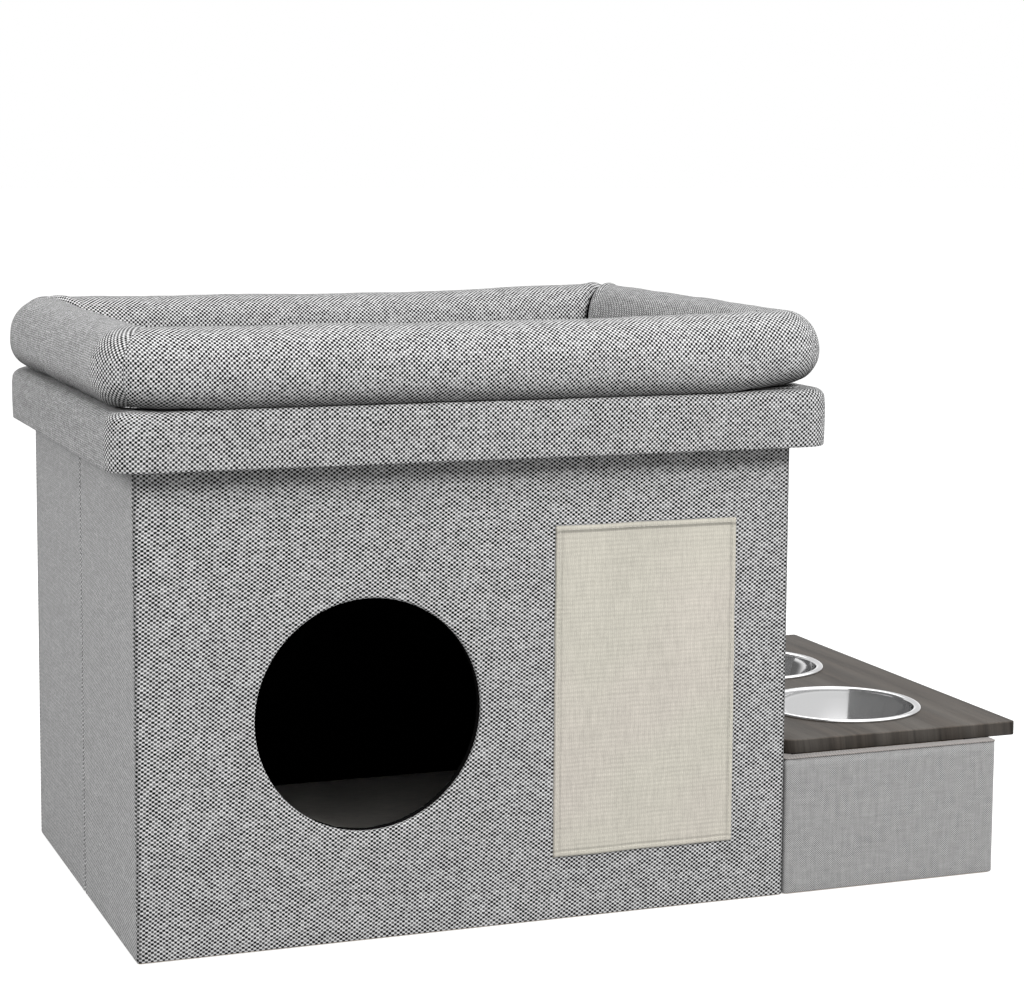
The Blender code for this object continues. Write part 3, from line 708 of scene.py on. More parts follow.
def simulate(jobs, frames=20):
    """Lets the stuffing push several covers out at once, in a cloth simulation on stand-ins, and puts the result into the pieces.

    jobs: (piece, settings). voxel: the size of an even new mesh, None to keep the mesh as it is. pins: which points are sewn or
    lie still. cap: how far a point may move. fix: a last look over the points."""
    stand_ins = []
    for piece, job in jobs:
        stand_in = bpy.data.objects.new(piece.name + "_stand_in", piece.data.copy())
        scene.collection.objects.link(stand_in)
        if job.get("voxel"):
            even = stand_in.modifiers.new("even", "REMESH")
            even.mode = "VOXEL"
            even.voxel_size = job["voxel"]
            graph = bpy.context.evaluated_depsgraph_get()
            mesh = bpy.data.meshes.new_from_object(stand_in.evaluated_get(graph))
            first = stand_in.data
            stand_in.modifiers.clear()
            stand_in.data = mesh
            bpy.data.meshes.remove(first)
        start = coordinates(stand_in.data)
        normal = coordinates(stand_in.data, "normal")
        held = job["pins"](start - SHIFT) if "pins" in job else np.zeros(len(start), bool)
        group = stand_in.vertex_groups.new(name="pins")
        group.add([int(i) for i in np.flatnonzero(held)], 1.0, "REPLACE")
        cloth = stand_in.modifiers.new("cloth", "CLOTH")
        s = cloth.settings
        s.quality = 5
        s.mass = 0.3
        s.tension_stiffness = s.compression_stiffness = job.get("stretch", 15.0)
        s.shear_stiffness = 5.0
        s.bending_stiffness = job.get("bend", 0.5)
        s.use_pressure = True
        s.uniform_pressure_force = job.get("pressure", 4.0)
        s.effector_weights.gravity = 0.0
        if held.any():
            s.vertex_group_mass = "pins"
        cloth.collision_settings.use_collision = False
        cloth.point_cache.frame_start = 1
        cloth.point_cache.frame_end = frames + 1
        stand_ins.append((piece, job, stand_in, start, normal, held))
    for f in range(1, frames + 1):
        scene.frame_set(f)
    graph = bpy.context.evaluated_depsgraph_get()
    after = []
    for entry in stand_ins:
        result = entry[2].evaluated_get(graph)
        after.append(coordinates(result.to_mesh()))
        result.to_mesh_clear()
    for (piece, job, stand_in, start, normal, held), new in zip(stand_ins, after):
        move = new - start
        outwards = (move * normal).sum(1)
        # half of the usual swelling comes off again: it would need more room than there is
        usual = max(float(np.mean(outwards[~held])), 0.0)
        move -= normal * np.clip(outwards, 0.0, usual)[:, None] * 0.5
        far = np.linalg.norm(move, axis=1)
        move *= np.minimum(1.0, job["cap"] / np.maximum(far, 1e-9))[:, None]
        new = start + move
        if job.get("fix"):
            new = job["fix"](new - SHIFT) + SHIFT
        print("simulated", piece.name, len(start), "points, swelling", round(usual * 1000, 2), "mm, largest change", round(float(np.linalg.norm(new - start, axis=1).max()) * 1000, 2), "mm")
        if job.get("voxel"):
            mesh = stand_in.data
            mesh.vertices.foreach_set("co", new.ravel())
            bm = bmesh.new()
            bm.from_mesh(mesh)
            for layer in bm.verts.layers.deform:
                bm.verts.layers.deform.remove(layer)
            piece.data.clear_geometry()
            bm.to_mesh(piece.data)
            bm.free()
            for layer in list(piece.data.uv_layers):
                piece.data.uv_layers.remove(layer)
            corner = np.empty(len(piece.data.loops), np.int32)
            piece.data.loops.foreach_get("vertex_index", corner)
            weave = piece.data.uv_layers.new(name="weave")
            weave.data.foreach_set("uv", (new - SHIFT)[corner, :2].astype(np.float32).ravel())
            for polygon in piece.data.polygons:
                polygon.material_index = 0
            piece.data.shade_smooth()
            smooth_subdivide(piece, 1)
        else:
            piece.data.vertices.foreach_set("co", new.ravel())
        piece.data.update()
        spent = stand_in.data
        bpy.data.objects.remove(stand_in)
        bpy.data.meshes.remove(spent)
    scene.frame_set(1)


# ================================================================ house
def wall_spot(side, f, d, z, r0=EDGE_R):
    """A point of the house's front (0) or back (2), f from -1 (end of the left corner's arc) over 0..1 (flat) to 2, at inset d and height z."""
    f, d, z = np.broadcast_arrays(np.asarray(f, float), d, z)
    r = np.maximum(r0 - d, 1e-5)
    width = W - 2 * d - 2 * r
    x = d + r + np.clip(f, 0, 1) * width
    a = np.clip(-f, 0, 1) * math.pi / 2
    b = np.clip(f - 1, 0, 1) * math.pi / 2
    x = x - r * np.sin(a) + r * np.sin(b)
    y = d + r * (1 - np.cos(a)) + r * (1 - np.cos(b))
    if side == 2:
        return np.stack([W - x, D - y, z], -1)
    return np.stack([x, y, z], -1)


def wall_profile():
    """(inset, z) up a wall's cover: turned under at the floor, straight up, and over the wall's top to the lining."""
    rows = []
    for a in np.linspace(0, 90, 4):
        a = math.radians(a)
        rows.append((0.0011 * (1 - math.sin(a)), 0.0015 - 0.0011 * math.cos(a)))
    heights = np.linspace(0.0015, WALL_TOP - 0.0012, 34)[1:]
    rows += [(0.0, z) for z in heights]
    for a in np.linspace(0, 90, 5)[1:]:
        a = math.radians(a)
        rows.append((0.0012 * (1 - math.cos(a)), WALL_TOP - 0.0012 + 0.0012 * math.sin(a)))
    rows += [(d, WALL_TOP) for d in (0.004, 0.008, 0.0113)]
    return rows


def run_of(profile):
    p = np.array(profile)
    return np.concatenate([[0.0], np.cumsum(np.hypot(*np.diff(p, axis=0).T))])


def sag_map(p):
    """A glued cover is never quite flat: a tenth of a millimetre of unevenness."""
    return 0.00012 * value_noise(p, 0.09, 11) + 0.00006 * value_noise(p, 0.023, 12)


def front_or_back(name, side, with_hole):
    rows = wall_profile()
    if with_hole:
        half = 0.1080
        lo, hi = HOLE_Z - half, HOLE_Z + half
        # rows that meet the square round the entrance
        rows = [r for r in rows if not (r[0] == 0.0 and 0.0016 < r[1] < WALL_TOP - 0.0013)]
        head = [r for r in rows if r[1] <= 0.0016]
        tail = [r for r in rows if r[1] > 0.0016]
        heights = list(np.linspace(0.0015, lo, 7)[1:]) + list(np.linspace(lo, hi, 33)[1:]) + list(np.linspace(hi, WALL_TOP - 0.0012, 12)[1:-1])
        rows = head + [(0.0, z) for z in heights] + tail
    run = run_of(rows)
    d = np.array([r[0] for r in rows])
    z = np.array([r[1] for r in rows])
    flat = W - 2 * EDGE_R
    arc = EDGE_R * math.pi / 2
    left = np.linspace(-1, 0, 7)[:-1]
    right = np.linspace(1, 2, 7)[1:]
    if with_hole:
        a, b = (HOLE_X - EDGE_R - half) / flat, (HOLE_X - EDGE_R + half) / flat
        middle = np.concatenate([np.linspace(0, a, 8)[:-1], np.linspace(a, b, 33)[:-1], np.linspace(b, 1, 26)])
    else:
        middle = np.linspace(0, 1, 56)
    f = np.concatenate([left, middle, right])
    u = np.where(f < 0, f * arc, np.where(f > 1, flat + (f - 1) * arc, f * flat)) + EDGE_R
    F, Dd = np.meshgrid(f, d, indexing="ij")
    _, Z = np.meshgrid(f, z, indexing="ij")
    P = wall_spot(side, F, Dd, Z)
    bump = sag_map(P[..., [0, 2]]) * ((Dd == 0) & (F > 0.01) & (F < 0.99) & (Z > 0.01) & (Z < 0.38))
    P[..., 1] += bump * (1 if side == 0 else -1)
    uv = np.stack(np.meshgrid(u, run, indexing="ij"), -1)
    skin = Skin()
    if not with_hole:
        skin.add(P, uv)
        return skin
    i0 = len(left) + 7
    i1 = i0 + 32
    j0 = next(k for k, r in enumerate(rows) if r[0] == 0.0 and abs(r[1] - lo) < 1e-9)
    j1 = j0 + 32
    skin.add(P[: i0 + 1], uv[: i0 + 1])
    skin.add(P[i1:], uv[i1:])
    skin.add(P[i0 : i1 + 1, : j0 + 1], uv[i0 : i1 + 1, : j0 + 1])
    skin.add(P[i0 : i1 + 1, j1:], uv[i0 : i1 + 1, j1:])
    # round the entrance: from the square in to the circle, then over its edge
    edge = []
    edge += [(i, j0) for i in range(i0, i1)]
    edge += [(i1, j) for j in range(j0, j1)]
    edge += [(i, j1) for i in range(i1, i0, -1)]
    edge += [(i0, j) for j in range(j1, j0, -1)]
    square = np.array([P[i, j] for i, j in edge])
    square_uv = np.array([uv[i, j] for i, j in edge])
    n = len(edge)
    angle = np.radians(225 + 360 * np.arange(n) / n)
    roll = 0.0021
    base_run = run[j0] - lo  # v = z + base_run on the flat
    rings, spots = [square], [square_uv]
    for w in (0.22, 0.45, 0.68, 0.86, 1.0):
        c = np.stack([HOLE_X + (HOLE_R + roll) * np.cos(angle), np.zeros(n), HOLE_Z + (HOLE_R + roll) * np.sin(angle)], -1)
        p = square * (1 - w) + c * w
        p[:, 1] = square[:, 1] * (1 - w) + sag_map(p[:, [0, 2]]) * w * (1 - w)
        rings.append(p)
        spots.append(np.stack([p[:, 0], p[:, 2] + base_run], -1))
    for a in (18, 36, 54, 72, 90):
        t = math.radians(a)
        r = HOLE_R + roll * (1 - math.sin(t))
        y = roll * (1 - math.cos(t))
        ru = HOLE_R + roll - roll * t
        rings.append(np.stack([HOLE_X + r * np.cos(angle), np.full(n, y), HOLE_Z + r * np.sin(angle)], -1))
        spots.append(np.stack([HOLE_X + ru * np.cos(angle), HOLE_Z + base_run + ru * np.sin(angle)], -1))
    for y in (0.0030, 0.0040):
        ru = HOLE_R + roll - roll * math.pi / 2 - (y - roll)
        rings.append(np.stack([HOLE_X + (HOLE_R + 0.0001) * np.cos(angle), np.full(n, y), HOLE_Z + (HOLE_R + 0.0001) * np.sin(angle)], -1))
        spots.append(np.stack([HOLE_X + ru * np.cos(angle), HOLE_Z + base_run + ru * np.sin(angle)], -1))
    rings = np.array(rings)
    spots = np.array(spots)
    spots = np.concatenate([spots, spots[:, :1]], 1)
    skin.add(rings, spots, wrap=(False, True), flip=True)
    return skin


front = front_or_back("front", 0, True).build("front_cloth", HOUSE_CLOTH, "house")
thicken(front, CLOTH_T)
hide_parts("front_cover")

back = front_or_back("back", 2, False).build("back_cloth", HOUSE_CLOTH, "house")
thicken(back, CLOTH_T)
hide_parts("back_cover")

for hand in ("left", "right"):
    rows = wall_profile()
    run = run_of(rows)
    seam = EDGE_R + 0.0004
    y = np.concatenate([np.array((0.0, 0.0006, 0.0016)) + seam, np.linspace(0.012, 0.180, 18), 0.19 + np.linspace(-0.0075, 0.0075, 17), np.linspace(0.200, D - 0.012, 18), D - seam - np.array((0.0016, 0.0006, 0.0))])
    y = np.unique(np.round(y, 6))
    Y, Dd = np.meshgrid(y, np.array([r[0] for r in rows]), indexing="ij")
    _, Z = np.meshgrid(y, np.array([r[1] for r in rows]), indexing="ij")
    crease = 0.0010 * np.exp(-(((Y - 0.19) / 0.0020) ** 2)) - 0.00025 * np.exp(-(((np.abs(Y - 0.19) - 0.0050) / 0.0022) ** 2))
    tuck = 0.00045 * (np.exp(-((Y - seam) / 0.0009)) + np.exp(-((D - seam - Y) / 0.0009)))
    on_wall = (Dd == 0.0) & (Z > 0.002) & (Z < 0.386)
    inset = Dd + (crease + tuck) * (Dd < 0.0013) + sag_map(np.stack([Y, Z], -1)) * on_wall
    # over the wall's top the panel is mitred into the front and back
    squeeze = np.clip(Dd - EDGE_R, 0, None)
    t = (Y - seam) / (D - 2 * seam)
    Y2 = (seam + squeeze) + t * (D - 2 * seam - 2 * squeeze)
    X = inset if hand == "left" else W - inset
    P = np.stack([X, Y2, Z], -1)
    u = -y if hand == "left" else y
    uv = np.stack(np.meshgrid(u, run, indexing="ij"), -1)
    skin = Skin()
    skin.add(P, uv, flip=(hand == "left"))
    side = skin.build(f"{hand}_cloth", SIDE_CLOTH, "house")
    thicken(side, CLOTH_T)
    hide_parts(f"{hand}_cover")
    x = 0.0006 if hand == "left" else W - 0.0006
    path = [(x, 0.19, z) for z in np.linspace(0.006, 0.384, 40)]
    row = stitches(f"{hand}_crease_stitches", path, (-1 if hand == "left" else 1, 0, 0), "house", DARK_THREAD, length=0.0028, pitch=0.0044, radius=0.00036, lift=-0.00005)

# ---------------------------------------------------------------- turned-in edge of the entrance
angle = 2 * np.pi * np.arange(96) / 96
skin = Skin()
rings, spots = [], []
for r, y in ((HOLE_R + 0.0002, 0.0038), (HOLE_R, 0.0042), (HOLE_R, 0.0075), (HOLE_R + 0.0001, 0.0108), (HOLE_R + 0.0006, 0.0119), (HOLE_R + 0.0020, 0.0121), (HOLE_R + 0.0075, 0.0121), (HOLE_R + 0.0078, 0.0118), (HOLE_R + 0.0012, 0.0115), (HOLE_R + 0.0011, 0.0040)):
    wave = 0.00018 * np.sin(angle * 23) + 0.00012 * np.sin(angle * 41 + 1.0)
    k = 1.0 if 0.005 < y < 0.0125 and r < HOLE_R + 0.006 else 0.3
    rings.append(np.stack([HOLE_X + (r + wave * k) * np.cos(angle), np.full(96, y), HOLE_Z + (r + wave * k) * np.sin(angle)], -1))
skin.add(np.array(rings), wrap=(True, True))
binding = skin.build("entrance_edge", BLACK, "house", outward=True)
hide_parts("entrance_binding")


# ---------------------------------------------------------------- lining sleeve, open at the entrance
def lining():
    half = 0.1060
    lo, hi = HOLE_Z - half, HOLE_Z + half
    z = np.concatenate([[0.004], np.linspace(0.03, lo, 4), np.linspace(lo, hi, 25)[1:], np.linspace(hi, 0.388, 10)[1:]])
    inset = 0.0108 + 0.0004
    x0, x1, y0, y1 = inset, W - inset, inset, D - inset
    xs = np.concatenate([np.linspace(x0, HOLE_X - half, 5), np.linspace(HOLE_X - half, HOLE_X + half, 25)[1:], np.linspace(HOLE_X + half, x1, 16)[1:]])
    skin = Skin()
    wrinkle = lambda a, b, s: 0.0005 * value_noise(np.stack([a, b], -1), 0.07, s)
    X, Z = np.meshgrid(xs, z, indexing="ij")
    P = np.stack([X, np.full_like(X, y0), Z], -1)
    P[..., 1] += np.abs(wrinkle(X, Z, 21)) * (X > x0 + 0.01) * (X < x1 - 0.01) * (np.hypot(X - HOLE_X, Z - HOLE_Z) > 0.12)
    i0, i1 = 4, 28
    j0, j1 = 4, 28
    skin.add(P[: i0 + 1])
    skin.add(P[i1:])
    skin.add(P[i0 : i1 + 1, : j0 + 1])
    skin.add(P[i0 : i1 + 1, j1:])
    edge = [(i, j0) for i in range(i0, i1)] + [(i1, j) for j in range(j0, j1)] + [(i, j1) for i in range(i1, i0, -1)] + [(i0, j) for j in range(j1, j0, -1)]
    square = np.array([P[i, j] for i, j in edge])
    n = len(edge)
    a = np.radians(225 + 360 * np.arange(n) / n)
    circle = np.stack([HOLE_X + (HOLE_R + 0.0015) * np.cos(a), np.full(n, y0), HOLE_Z + (HOLE_R + 0.0015) * np.sin(a)], -1)
    skin.add(np.array([square, (square + circle) / 2, circle]), wrap=(False, True), flip=True)
    for side, (start, stop, fixed) in enumerate((((y0), (y1), x1), (x1, x0, y1), (y1, y0, x0))):
        t = np.linspace(start, stop, 28)
        T, Z = np.meshgrid(t, z, indexing="ij")
        w = np.abs(wrinkle(T, Z, 30 + side)) * (np.abs(T - (start + stop) / 2) < abs(stop - start) / 2 - 0.01)
        if side == 0:
            P = np.stack([fixed - w, T, Z], -1)
        elif side == 1:
            P = np.stack([T, fixed - w, Z], -1)
        else:
            P = np.stack([fixed + w, T, Z], -1)
        skin.add(P)
    return skin


inner = lining().build("lining_sleeve", BLACK, "house", weld=1e-5)
thicken(inner, 0.0005)
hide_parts("inner_lining")

# ---------------------------------------------------------------- bottom cloth
xs, ys = np.linspace(0.0111, W - 0.0111, 40), np.linspace(0.0111, D - 0.0111, 30)
X, Y = np.meshgrid(xs, ys, indexing="ij")
lift = 0.00045 + 0.0002 * np.clip(value_noise(np.stack([X, Y], -1), 0.11, 41), -1, 1)
skin = Skin()
skin.add(np.stack([X, Y, lift + 0.0003], -1))
floor_cloth = skin.build("bottom_sheet", BLACK, "house")
thicken(floor_cloth, 0.0005)
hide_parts("bottom_cloth")


# ---------------------------------------------------------------- scratching sheet
def scratch_sheet():
    x0, x1, z0, z1 = 0.323, 0.474, 0.049, 0.306
    nx, nz = 152, 258
    x = np.linspace(0, x1 - x0, nx)
    z = np.linspace(0, z1 - z0, nz)
    X, Z = np.meshgrid(x, z, indexing="ij")
    edge = np.minimum(np.minimum(X, (x1 - x0) - X), np.minimum(Z, (z1 - z0) - Z))
    hem = 0.0046
    inside = np.clip((edge - hem) / 0.0008, 0, 1)
    # strands stand upright and dive under a cross thread in turn
    column = X / 0.0021
    row = Z / 0.0034
    strand = np.cos(math.pi * column) * np.cos(math.pi * row)
    rib = 0.00016 * strand + 0.00010 * np.cos(2 * math.pi * row + 0.6 * value_noise(np.stack([X, Z], -1), 0.05, 51))
    rib += 0.00010 * value_noise(np.stack([X * 6, Z], -1), 0.03, 52)
    broad = 0.00022 * value_noise(np.stack([X * 3, Z * 0.5], -1), 0.05, 53)
    groove = 0.00080 * np.exp(-(((edge - hem) / 0.00065) ** 2))
    height = 0.0013 + inside * (rib + broad - 0.0002) + (1 - inside) * (0.00022 + 0.00006 * value_noise(np.stack([X, Z], -1), 0.006, 54)) - groove
    rim = np.clip(edge / 0.0010, 0, 1)
    height = height * np.sqrt(1 - (1 - rim) ** 2)
    wav = 0.0003
    xx = x0 + X + wav * value_noise(Z[..., None], 0.07, 55) * (1 - np.clip(edge / 0.02, 0, 1))
    zz = z0 + Z + wav * value_noise(X[..., None], 0.07, 56) * (1 - np.clip(edge / 0.02, 0, 1))
    skin = Skin()
    base = skin.add(np.stack([xx, -0.0003 - height, zz], -1), np.stack([X, Z], -1))
    # flat back, one face within the rim
    rim_ids = [base + i * nz for i in range(nx)]
    rim_ids += [base + (nx - 1) * nz + j for j in range(1, nz)]
    rim_ids += [base + i * nz + nz - 1 for i in range(nx - 2, -1, -1)]
    rim_ids += [base + j for j in range(nz - 2, 0, -1)]
    skin.polygon(rim_ids[::-1], np.zeros((len(rim_ids), 2)))
    return skin, (x0, x1, z0, z1, hem)


skin, (px0, px1, pz0, pz1, hem) = scratch_sheet()
pad = skin.build("scratching_sheet", SISAL, "house", weld=3e-6, outward=True)
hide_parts("scratch_pad")
for label, a, b in (
    ("top", (px0 + hem, pz1 - hem + 0.0012), (px1 - hem, pz1 - hem + 0.0012)),
    ("bottom", (px0 + hem, pz0 + hem - 0.0012), (px1 - hem, pz0 + hem - 0.0012)),
    ("left", (px0 + hem - 0.0012, pz0 + hem), (px0 + hem - 0.0012, pz1 - hem)),
    ("right", (px1 - hem + 0.0012, pz0 + hem), (px1 - hem + 0.0012, pz1 - hem)),
):
    path = [(a[0] + (b[0] - a[0]) * t, -0.00182, a[1] + (b[1] - a[1]) * t) for t in np.linspace(0, 1, 12)]
    row = stitches(f"sheet_stitches_{label}", path, (0, -1, 0), "house", SISAL_THREAD, length=0.0026, pitch=0.0036, radius=0.00022, lift=-0.00002, arch=0.0001)


# ================================================================ base board and mat
def pillow(name, rect, radius, z0, z1, side_steps, rings, material, body, crown=0.0, seed=0, mid=0.45, lumps=0.0008):
    """A flat cushion: two crowned faces that meet in a rounded side with a seam."""
    height = z1 - z0
    insets = []
    r = height / 2
    for a in np.linspace(0, 90, 6):
        t = math.radians(a)
        insets.append((r * 0.75 * (1 - math.cos(t)), math.sin(t)))
    profile = insets + [(r * 0.75 + g, 1.0) for g in rings]
    skin = Skin()
    for sign in (1, -1):
        loops, spots = [], []
        for d, h in profile:
            o = outline(rect, radius, d, 6, side_steps)
            z = z0 + height * mid + (z1 - z0 - height * mid) * h if sign > 0 else z0 + height * mid * (1 - h)
            depth = max(0.0, d - r * 0.75)
            zz = np.full(len(o), z)
            if sign > 0:
                zz = zz + crown * (1 - math.exp(-depth / 0.05)) * (1 if h == 1.0 else 0)
                zz = zz + lumps * value_noise(o, 0.10, seed + 1) * min(1.0, depth / 0.03)
            loops.append(np.column_stack([o, zz]))
            spots.append(o)
        loops = np.array(loops)
        spots = np.array(spots)
        spots = np.concatenate([spots, spots[:, :1]], 1)
        base = skin.add(loops, spots, wrap=(False, True), flip=(sign < 0))
        # close the middle with a grid-like fan
        n = loops.shape[1]
        last = [base + (len(profile) - 1) * n + k for k in range(n)]
        order = last if sign > 0 else last[::-1]
        skin.polygon(order, spots[-1][:-1] if sign > 0 else spots[-1][:-1][::-1])
    return skin


place_names = {}
rings = (0.004, 0.010, 0.018, 0.028, 0.040, 0.055, 0.072, 0.092, 0.115, 0.140)
skin = pillow("mat", (0.019, W - 0.019, 0.019, D - 0.019), 0.024, 0.0107, 0.0310, 40, rings, MAT_PILE, "mat", crown=0.0030, seed=60, lumps=0.0022)
mat = skin.build("soft_mat", MAT_PILE, "mat", outward=True, weld=1e-5)
mat_box = np.array((coordinates(mat.data).min(0), coordinates(mat.data).max(0))) - SHIFT


def mat_seam(points):
    """The mat's sewn edge and its underside, which lies on the board."""
    inset = np.minimum(points[:, :2] - mat_box[0, :2], mat_box[1, :2] - points[:, :2]).min(1)
    return (inset < 0.006) | (points[:, 2] < mat_box[0, 2] + 0.003)


simulate([(mat, {"voxel": 0.005, "pins": mat_seam, "cap": 0.004, "pressure": 1.5, "stretch": 60.0, "bend": 2.0, "fix": lambda points: np.clip(points, mat_box[0], mat_box[1] + (0, 0, 0.0015))})])
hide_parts("inner_mat")


# ================================================================ lid
def pressed(points):
    """How far the bed has pressed the lid's foam down, along the left side and at the front left corner."""
    x0, x1, y0, y1 = LID_RECT
    in_x = np.clip((points[..., 0] - x0) / 0.036, 0, 1)
    in_y = np.clip((points[..., 1] - y0) / 0.030, 0, 1)
    along_front = np.clip((points[..., 0] - x0) / 0.110, 0, 1)
    left = 1 - in_x * in_x * (3 - 2 * in_x)
    corner = (1 - in_y * in_y * (3 - 2 * in_y)) * (1 - along_front * along_front * (3 - 2 * along_front))
    return 0.0031 * np.maximum(left, corner)


def lid_skin():
    low = LID_Z0 - 0.0018
    rows = [(0.0016 + RAIL_T, low + 0.0003), (0.0080, low + 0.0001), (0.0030, low)]
    r = 0.0011
    for a in np.linspace(0, 90, 5):
        t = math.radians(a)
        rows.append((r * (1 - math.sin(t)), low + r * (1 - math.cos(t))))
    e = LID_EDGE
    for z in np.linspace(low + r, LID_Z1 - e, 8)[1:-1]:
        h = (z - low) / (LID_Z1 - low)
        rows.append((-0.0005 * math.sin(math.pi * h), z))
    for a in np.linspace(0, 90, 9):
        t = math.radians(a)
        rows.append((e * (1 - math.cos(t)), LID_Z1 - e + e * math.sin(t)))
    rows += [(d, LID_Z1) for d in (0.0105, 0.014, 0.024, 0.040, 0.065, 0.095, 0.130, 0.165)]
    loops, spots = band(LID_RECT, LID_R, rows, corner_steps=10, side_steps=40)
    # the top panel's threads run across and along, not round
    top = next(i for i, (d, z) in enumerate(rows) if z == LID_Z1 and d > LID_EDGE + 0.001)
    skin = Skin()
    soft = value_noise(loops, 0.12, 71) * 0.00025
    for i, (d, z) in enumerate(rows):
        if LID_Z0 + 0.003 < z < LID_Z1 - 0.009:
            centre = np.array((W / 2, D / 2, z))
            out = loops[i] - centre
            out[:, 2] = 0
            out /= np.linalg.norm(out, axis=1)[:, None]
            loops[i] += out * soft[i][:, None]
        if z == LID_Z1 and d > 0.03:
            loops[i][:, 2] -= 0.0004 * (1 + value_noise(loops[i][:, :2], 0.15, 72))
    loops[..., 2] -= pressed(loops) * np.clip((loops[..., 2] - (LID_Z1 - 0.016)) / 0.014, 0, 1)
    seam = top - 1
    skin.add(loops[: seam + 1], spots[: seam + 1], wrap=(False, True), flip=True)
    flat = loops[seam:, :, :2]
    flat = np.concatenate([flat, flat[:, :1]], 1)
    base = skin.add(loops[seam:], flat, wrap=(False, True), flip=True)
    n = loops.shape[1]
    k = len(loops) - seam - 1
    skin.polygon([base + k * n + i for i in range(n)], loops[-1][:, :2])
    return skin


lid = lid_skin().build("lid_cloth", LID_CLOTH, "lid", weld=2e-6, outward=False)
thicken(lid, 0.0009)
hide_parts("lid_cover")

# lining under the lid board and the foam on it
skin = Skin()
loops = []
for d in (RAIL_T + 0.0020, 0.03, 0.06, 0.10, 0.14, 0.17):
    o = outline(LID_RECT, LID_R, d, 6, 30)
    z = 0.3900 - 0.0003 * np.abs(value_noise(o, 0.08, 74)) * (1 if d > 0.02 else 0)
    loops.append(np.column_stack([o, z]))
base = skin.add(np.array(loops), wrap=(False, True))
n = len(loops[0])
skin.polygon([base + 5 * n + i for i in range(n)][::-1], np.zeros((n, 2)))
under = skin.build("lid_under_sheet", BLACK, "lid")
thicken(under, 0.0004)
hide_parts("lid_lining")

skin = Skin()
rows = [(0.0020, 0.3991), (0.0020, 0.3996), (0.0024, 0.4004), (0.0034, 0.4017), (0.0047, 0.4028), (0.0063, 0.4035)] + [(d, 0.4037) for d in (0.0085, 0.012, 0.02, 0.04, 0.07, 0.11, 0.16)]
loops, spots = band(LID_RECT, LID_R, rows, corner_steps=8, side_steps=30)
for i, (d, z) in enumerate(rows):
    if d > 0.015:
        loops[i][:, 2] -= 0.0003 * (1 + value_noise(loops[i][:, :2], 0.06, 76)) * 0.5
loops[..., 2] -= pressed(loops) * np.clip((loops[..., 2] - 0.3991) / 0.0040, 0, 1)
base = skin.add(loops, spots, wrap=(False, True), flip=True)
n = loops.shape[1]
skin.polygon([base + (len(rows) - 1) * n + i for i in range(n)], loops[-1][:, :2])
skin.polygon([base + i for i in range(n)][::-1], loops[0][:, :2][::-1])
lid_pad = skin.build("lid_foam_sheet", FOAM, "lid", outward=True)
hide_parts("lid_foam")


# ================================================================ bed
SIDE_AXES = ((np.array((1.0, 0, 0)), np.array((0, -1.0, 0))), (np.array((0, 1.0, 0)), np.array((1.0, 0, 0))), (np.array((-1.0, 0, 0)), np.array((0, 1.0, 0))), (np.array((0, -1.0, 0)), np.array((-1.0, 0, 0))))


CORNERS = (0.054, 0.041, 0.041, 0.054)  # front left, front right, back right, back left; the slack left ones are a little rounder
# how full each side is low down outside, how far it slumps outwards there, and how low it would come if nothing were under it
STUFFING = ((3.0, 0.0024, 0.4000), (2.05, 0.0, 0.4066), (2.6, 0.0012, 0.4030), (2.35, 0.0020, 0.4030))
AT_CORNERS = ((2.4, 0.0014, 0.4008), (2.0, 0.0, 0.4072), (2.2, 0.0, 0.4055), (2.25, 0.0026, 0.4030))


def foot(points):
    """Lowest height of the bolsters over the lid and its rounded edge."""
    x0, x1, y0, y1 = LID_RECT
    px = np.abs(points[..., 0] - (x0 + x1) / 2) - ((x1 - x0) / 2 - LID_R)
    py = np.abs(points[..., 1] - (y0 + y1) / 2) - ((y1 - y0) / 2 - LID_R)
    out = np.hypot(np.maximum(px, 0), np.maximum(py, 0)) + np.minimum(np.maximum(px, py), 0) - LID_R
    clear = RING_FOOT - LID_Z1
    beside = np.clip(LID_EDGE + out, 0, LID_EDGE + clear)
    height = LID_Z1 - LID_EDGE + np.sqrt((LID_EDGE + clear) ** 2 - beside**2)
    return np.maximum(height, 0.4005) - pressed(points)


def section(nc, full, hang, bottom):
    """A stuffed tube lying on a board: round on top, fuller and flattened below. Starts underneath and runs out and over the top.
    Inset, height, the normal's two parts at nc even steps, and the distance round."""
    f = 2 * np.pi * np.arange(4000) / 4000 - np.pi / 2
    low, out = np.sin(f) < 0, np.cos(f) > 0
    power = np.where(low, np.where(out, 2 / full, 2 / 2.4), 2 / 2.05)
    reach = RING_RH + np.where(low & out, hang * np.abs(np.sin(2 * f)), 0.0)
    d = RING_RH - reach * np.sign(np.cos(f)) * np.abs(np.cos(f)) ** power
    z = RING_Z + np.where(low, RING_Z - bottom, RING_RV) * np.sign(np.sin(f)) * np.abs(np.sin(f)) ** power
    d, z = np.append(d, d[0]), np.append(z, z[0])
    run = np.concatenate([[0.0], np.cumsum(np.hypot(np.diff(d), np.diff(z)))])
    girth = np.linspace(0, run[-1], nc + 1)
    eps = run[-1] / 900
    here = [np.interp(girth[:-1] % run[-1], run, c) for c in (d, z)]
    ahead = [np.interp((girth[:-1] + eps) % run[-1], run, c) for c in (d, z)]
    behind = [np.interp((girth[:-1] - eps) % run[-1], run, c) for c in (d, z)]
    td, tz = ahead[0] - behind[0], ahead[1] - behind[1]
    length = np.hypot(td, tz)
    # inset grows inwards, so the outward part of the normal is along the height's change
    return np.array((here[0], here[1], tz / length, td / length)), girth


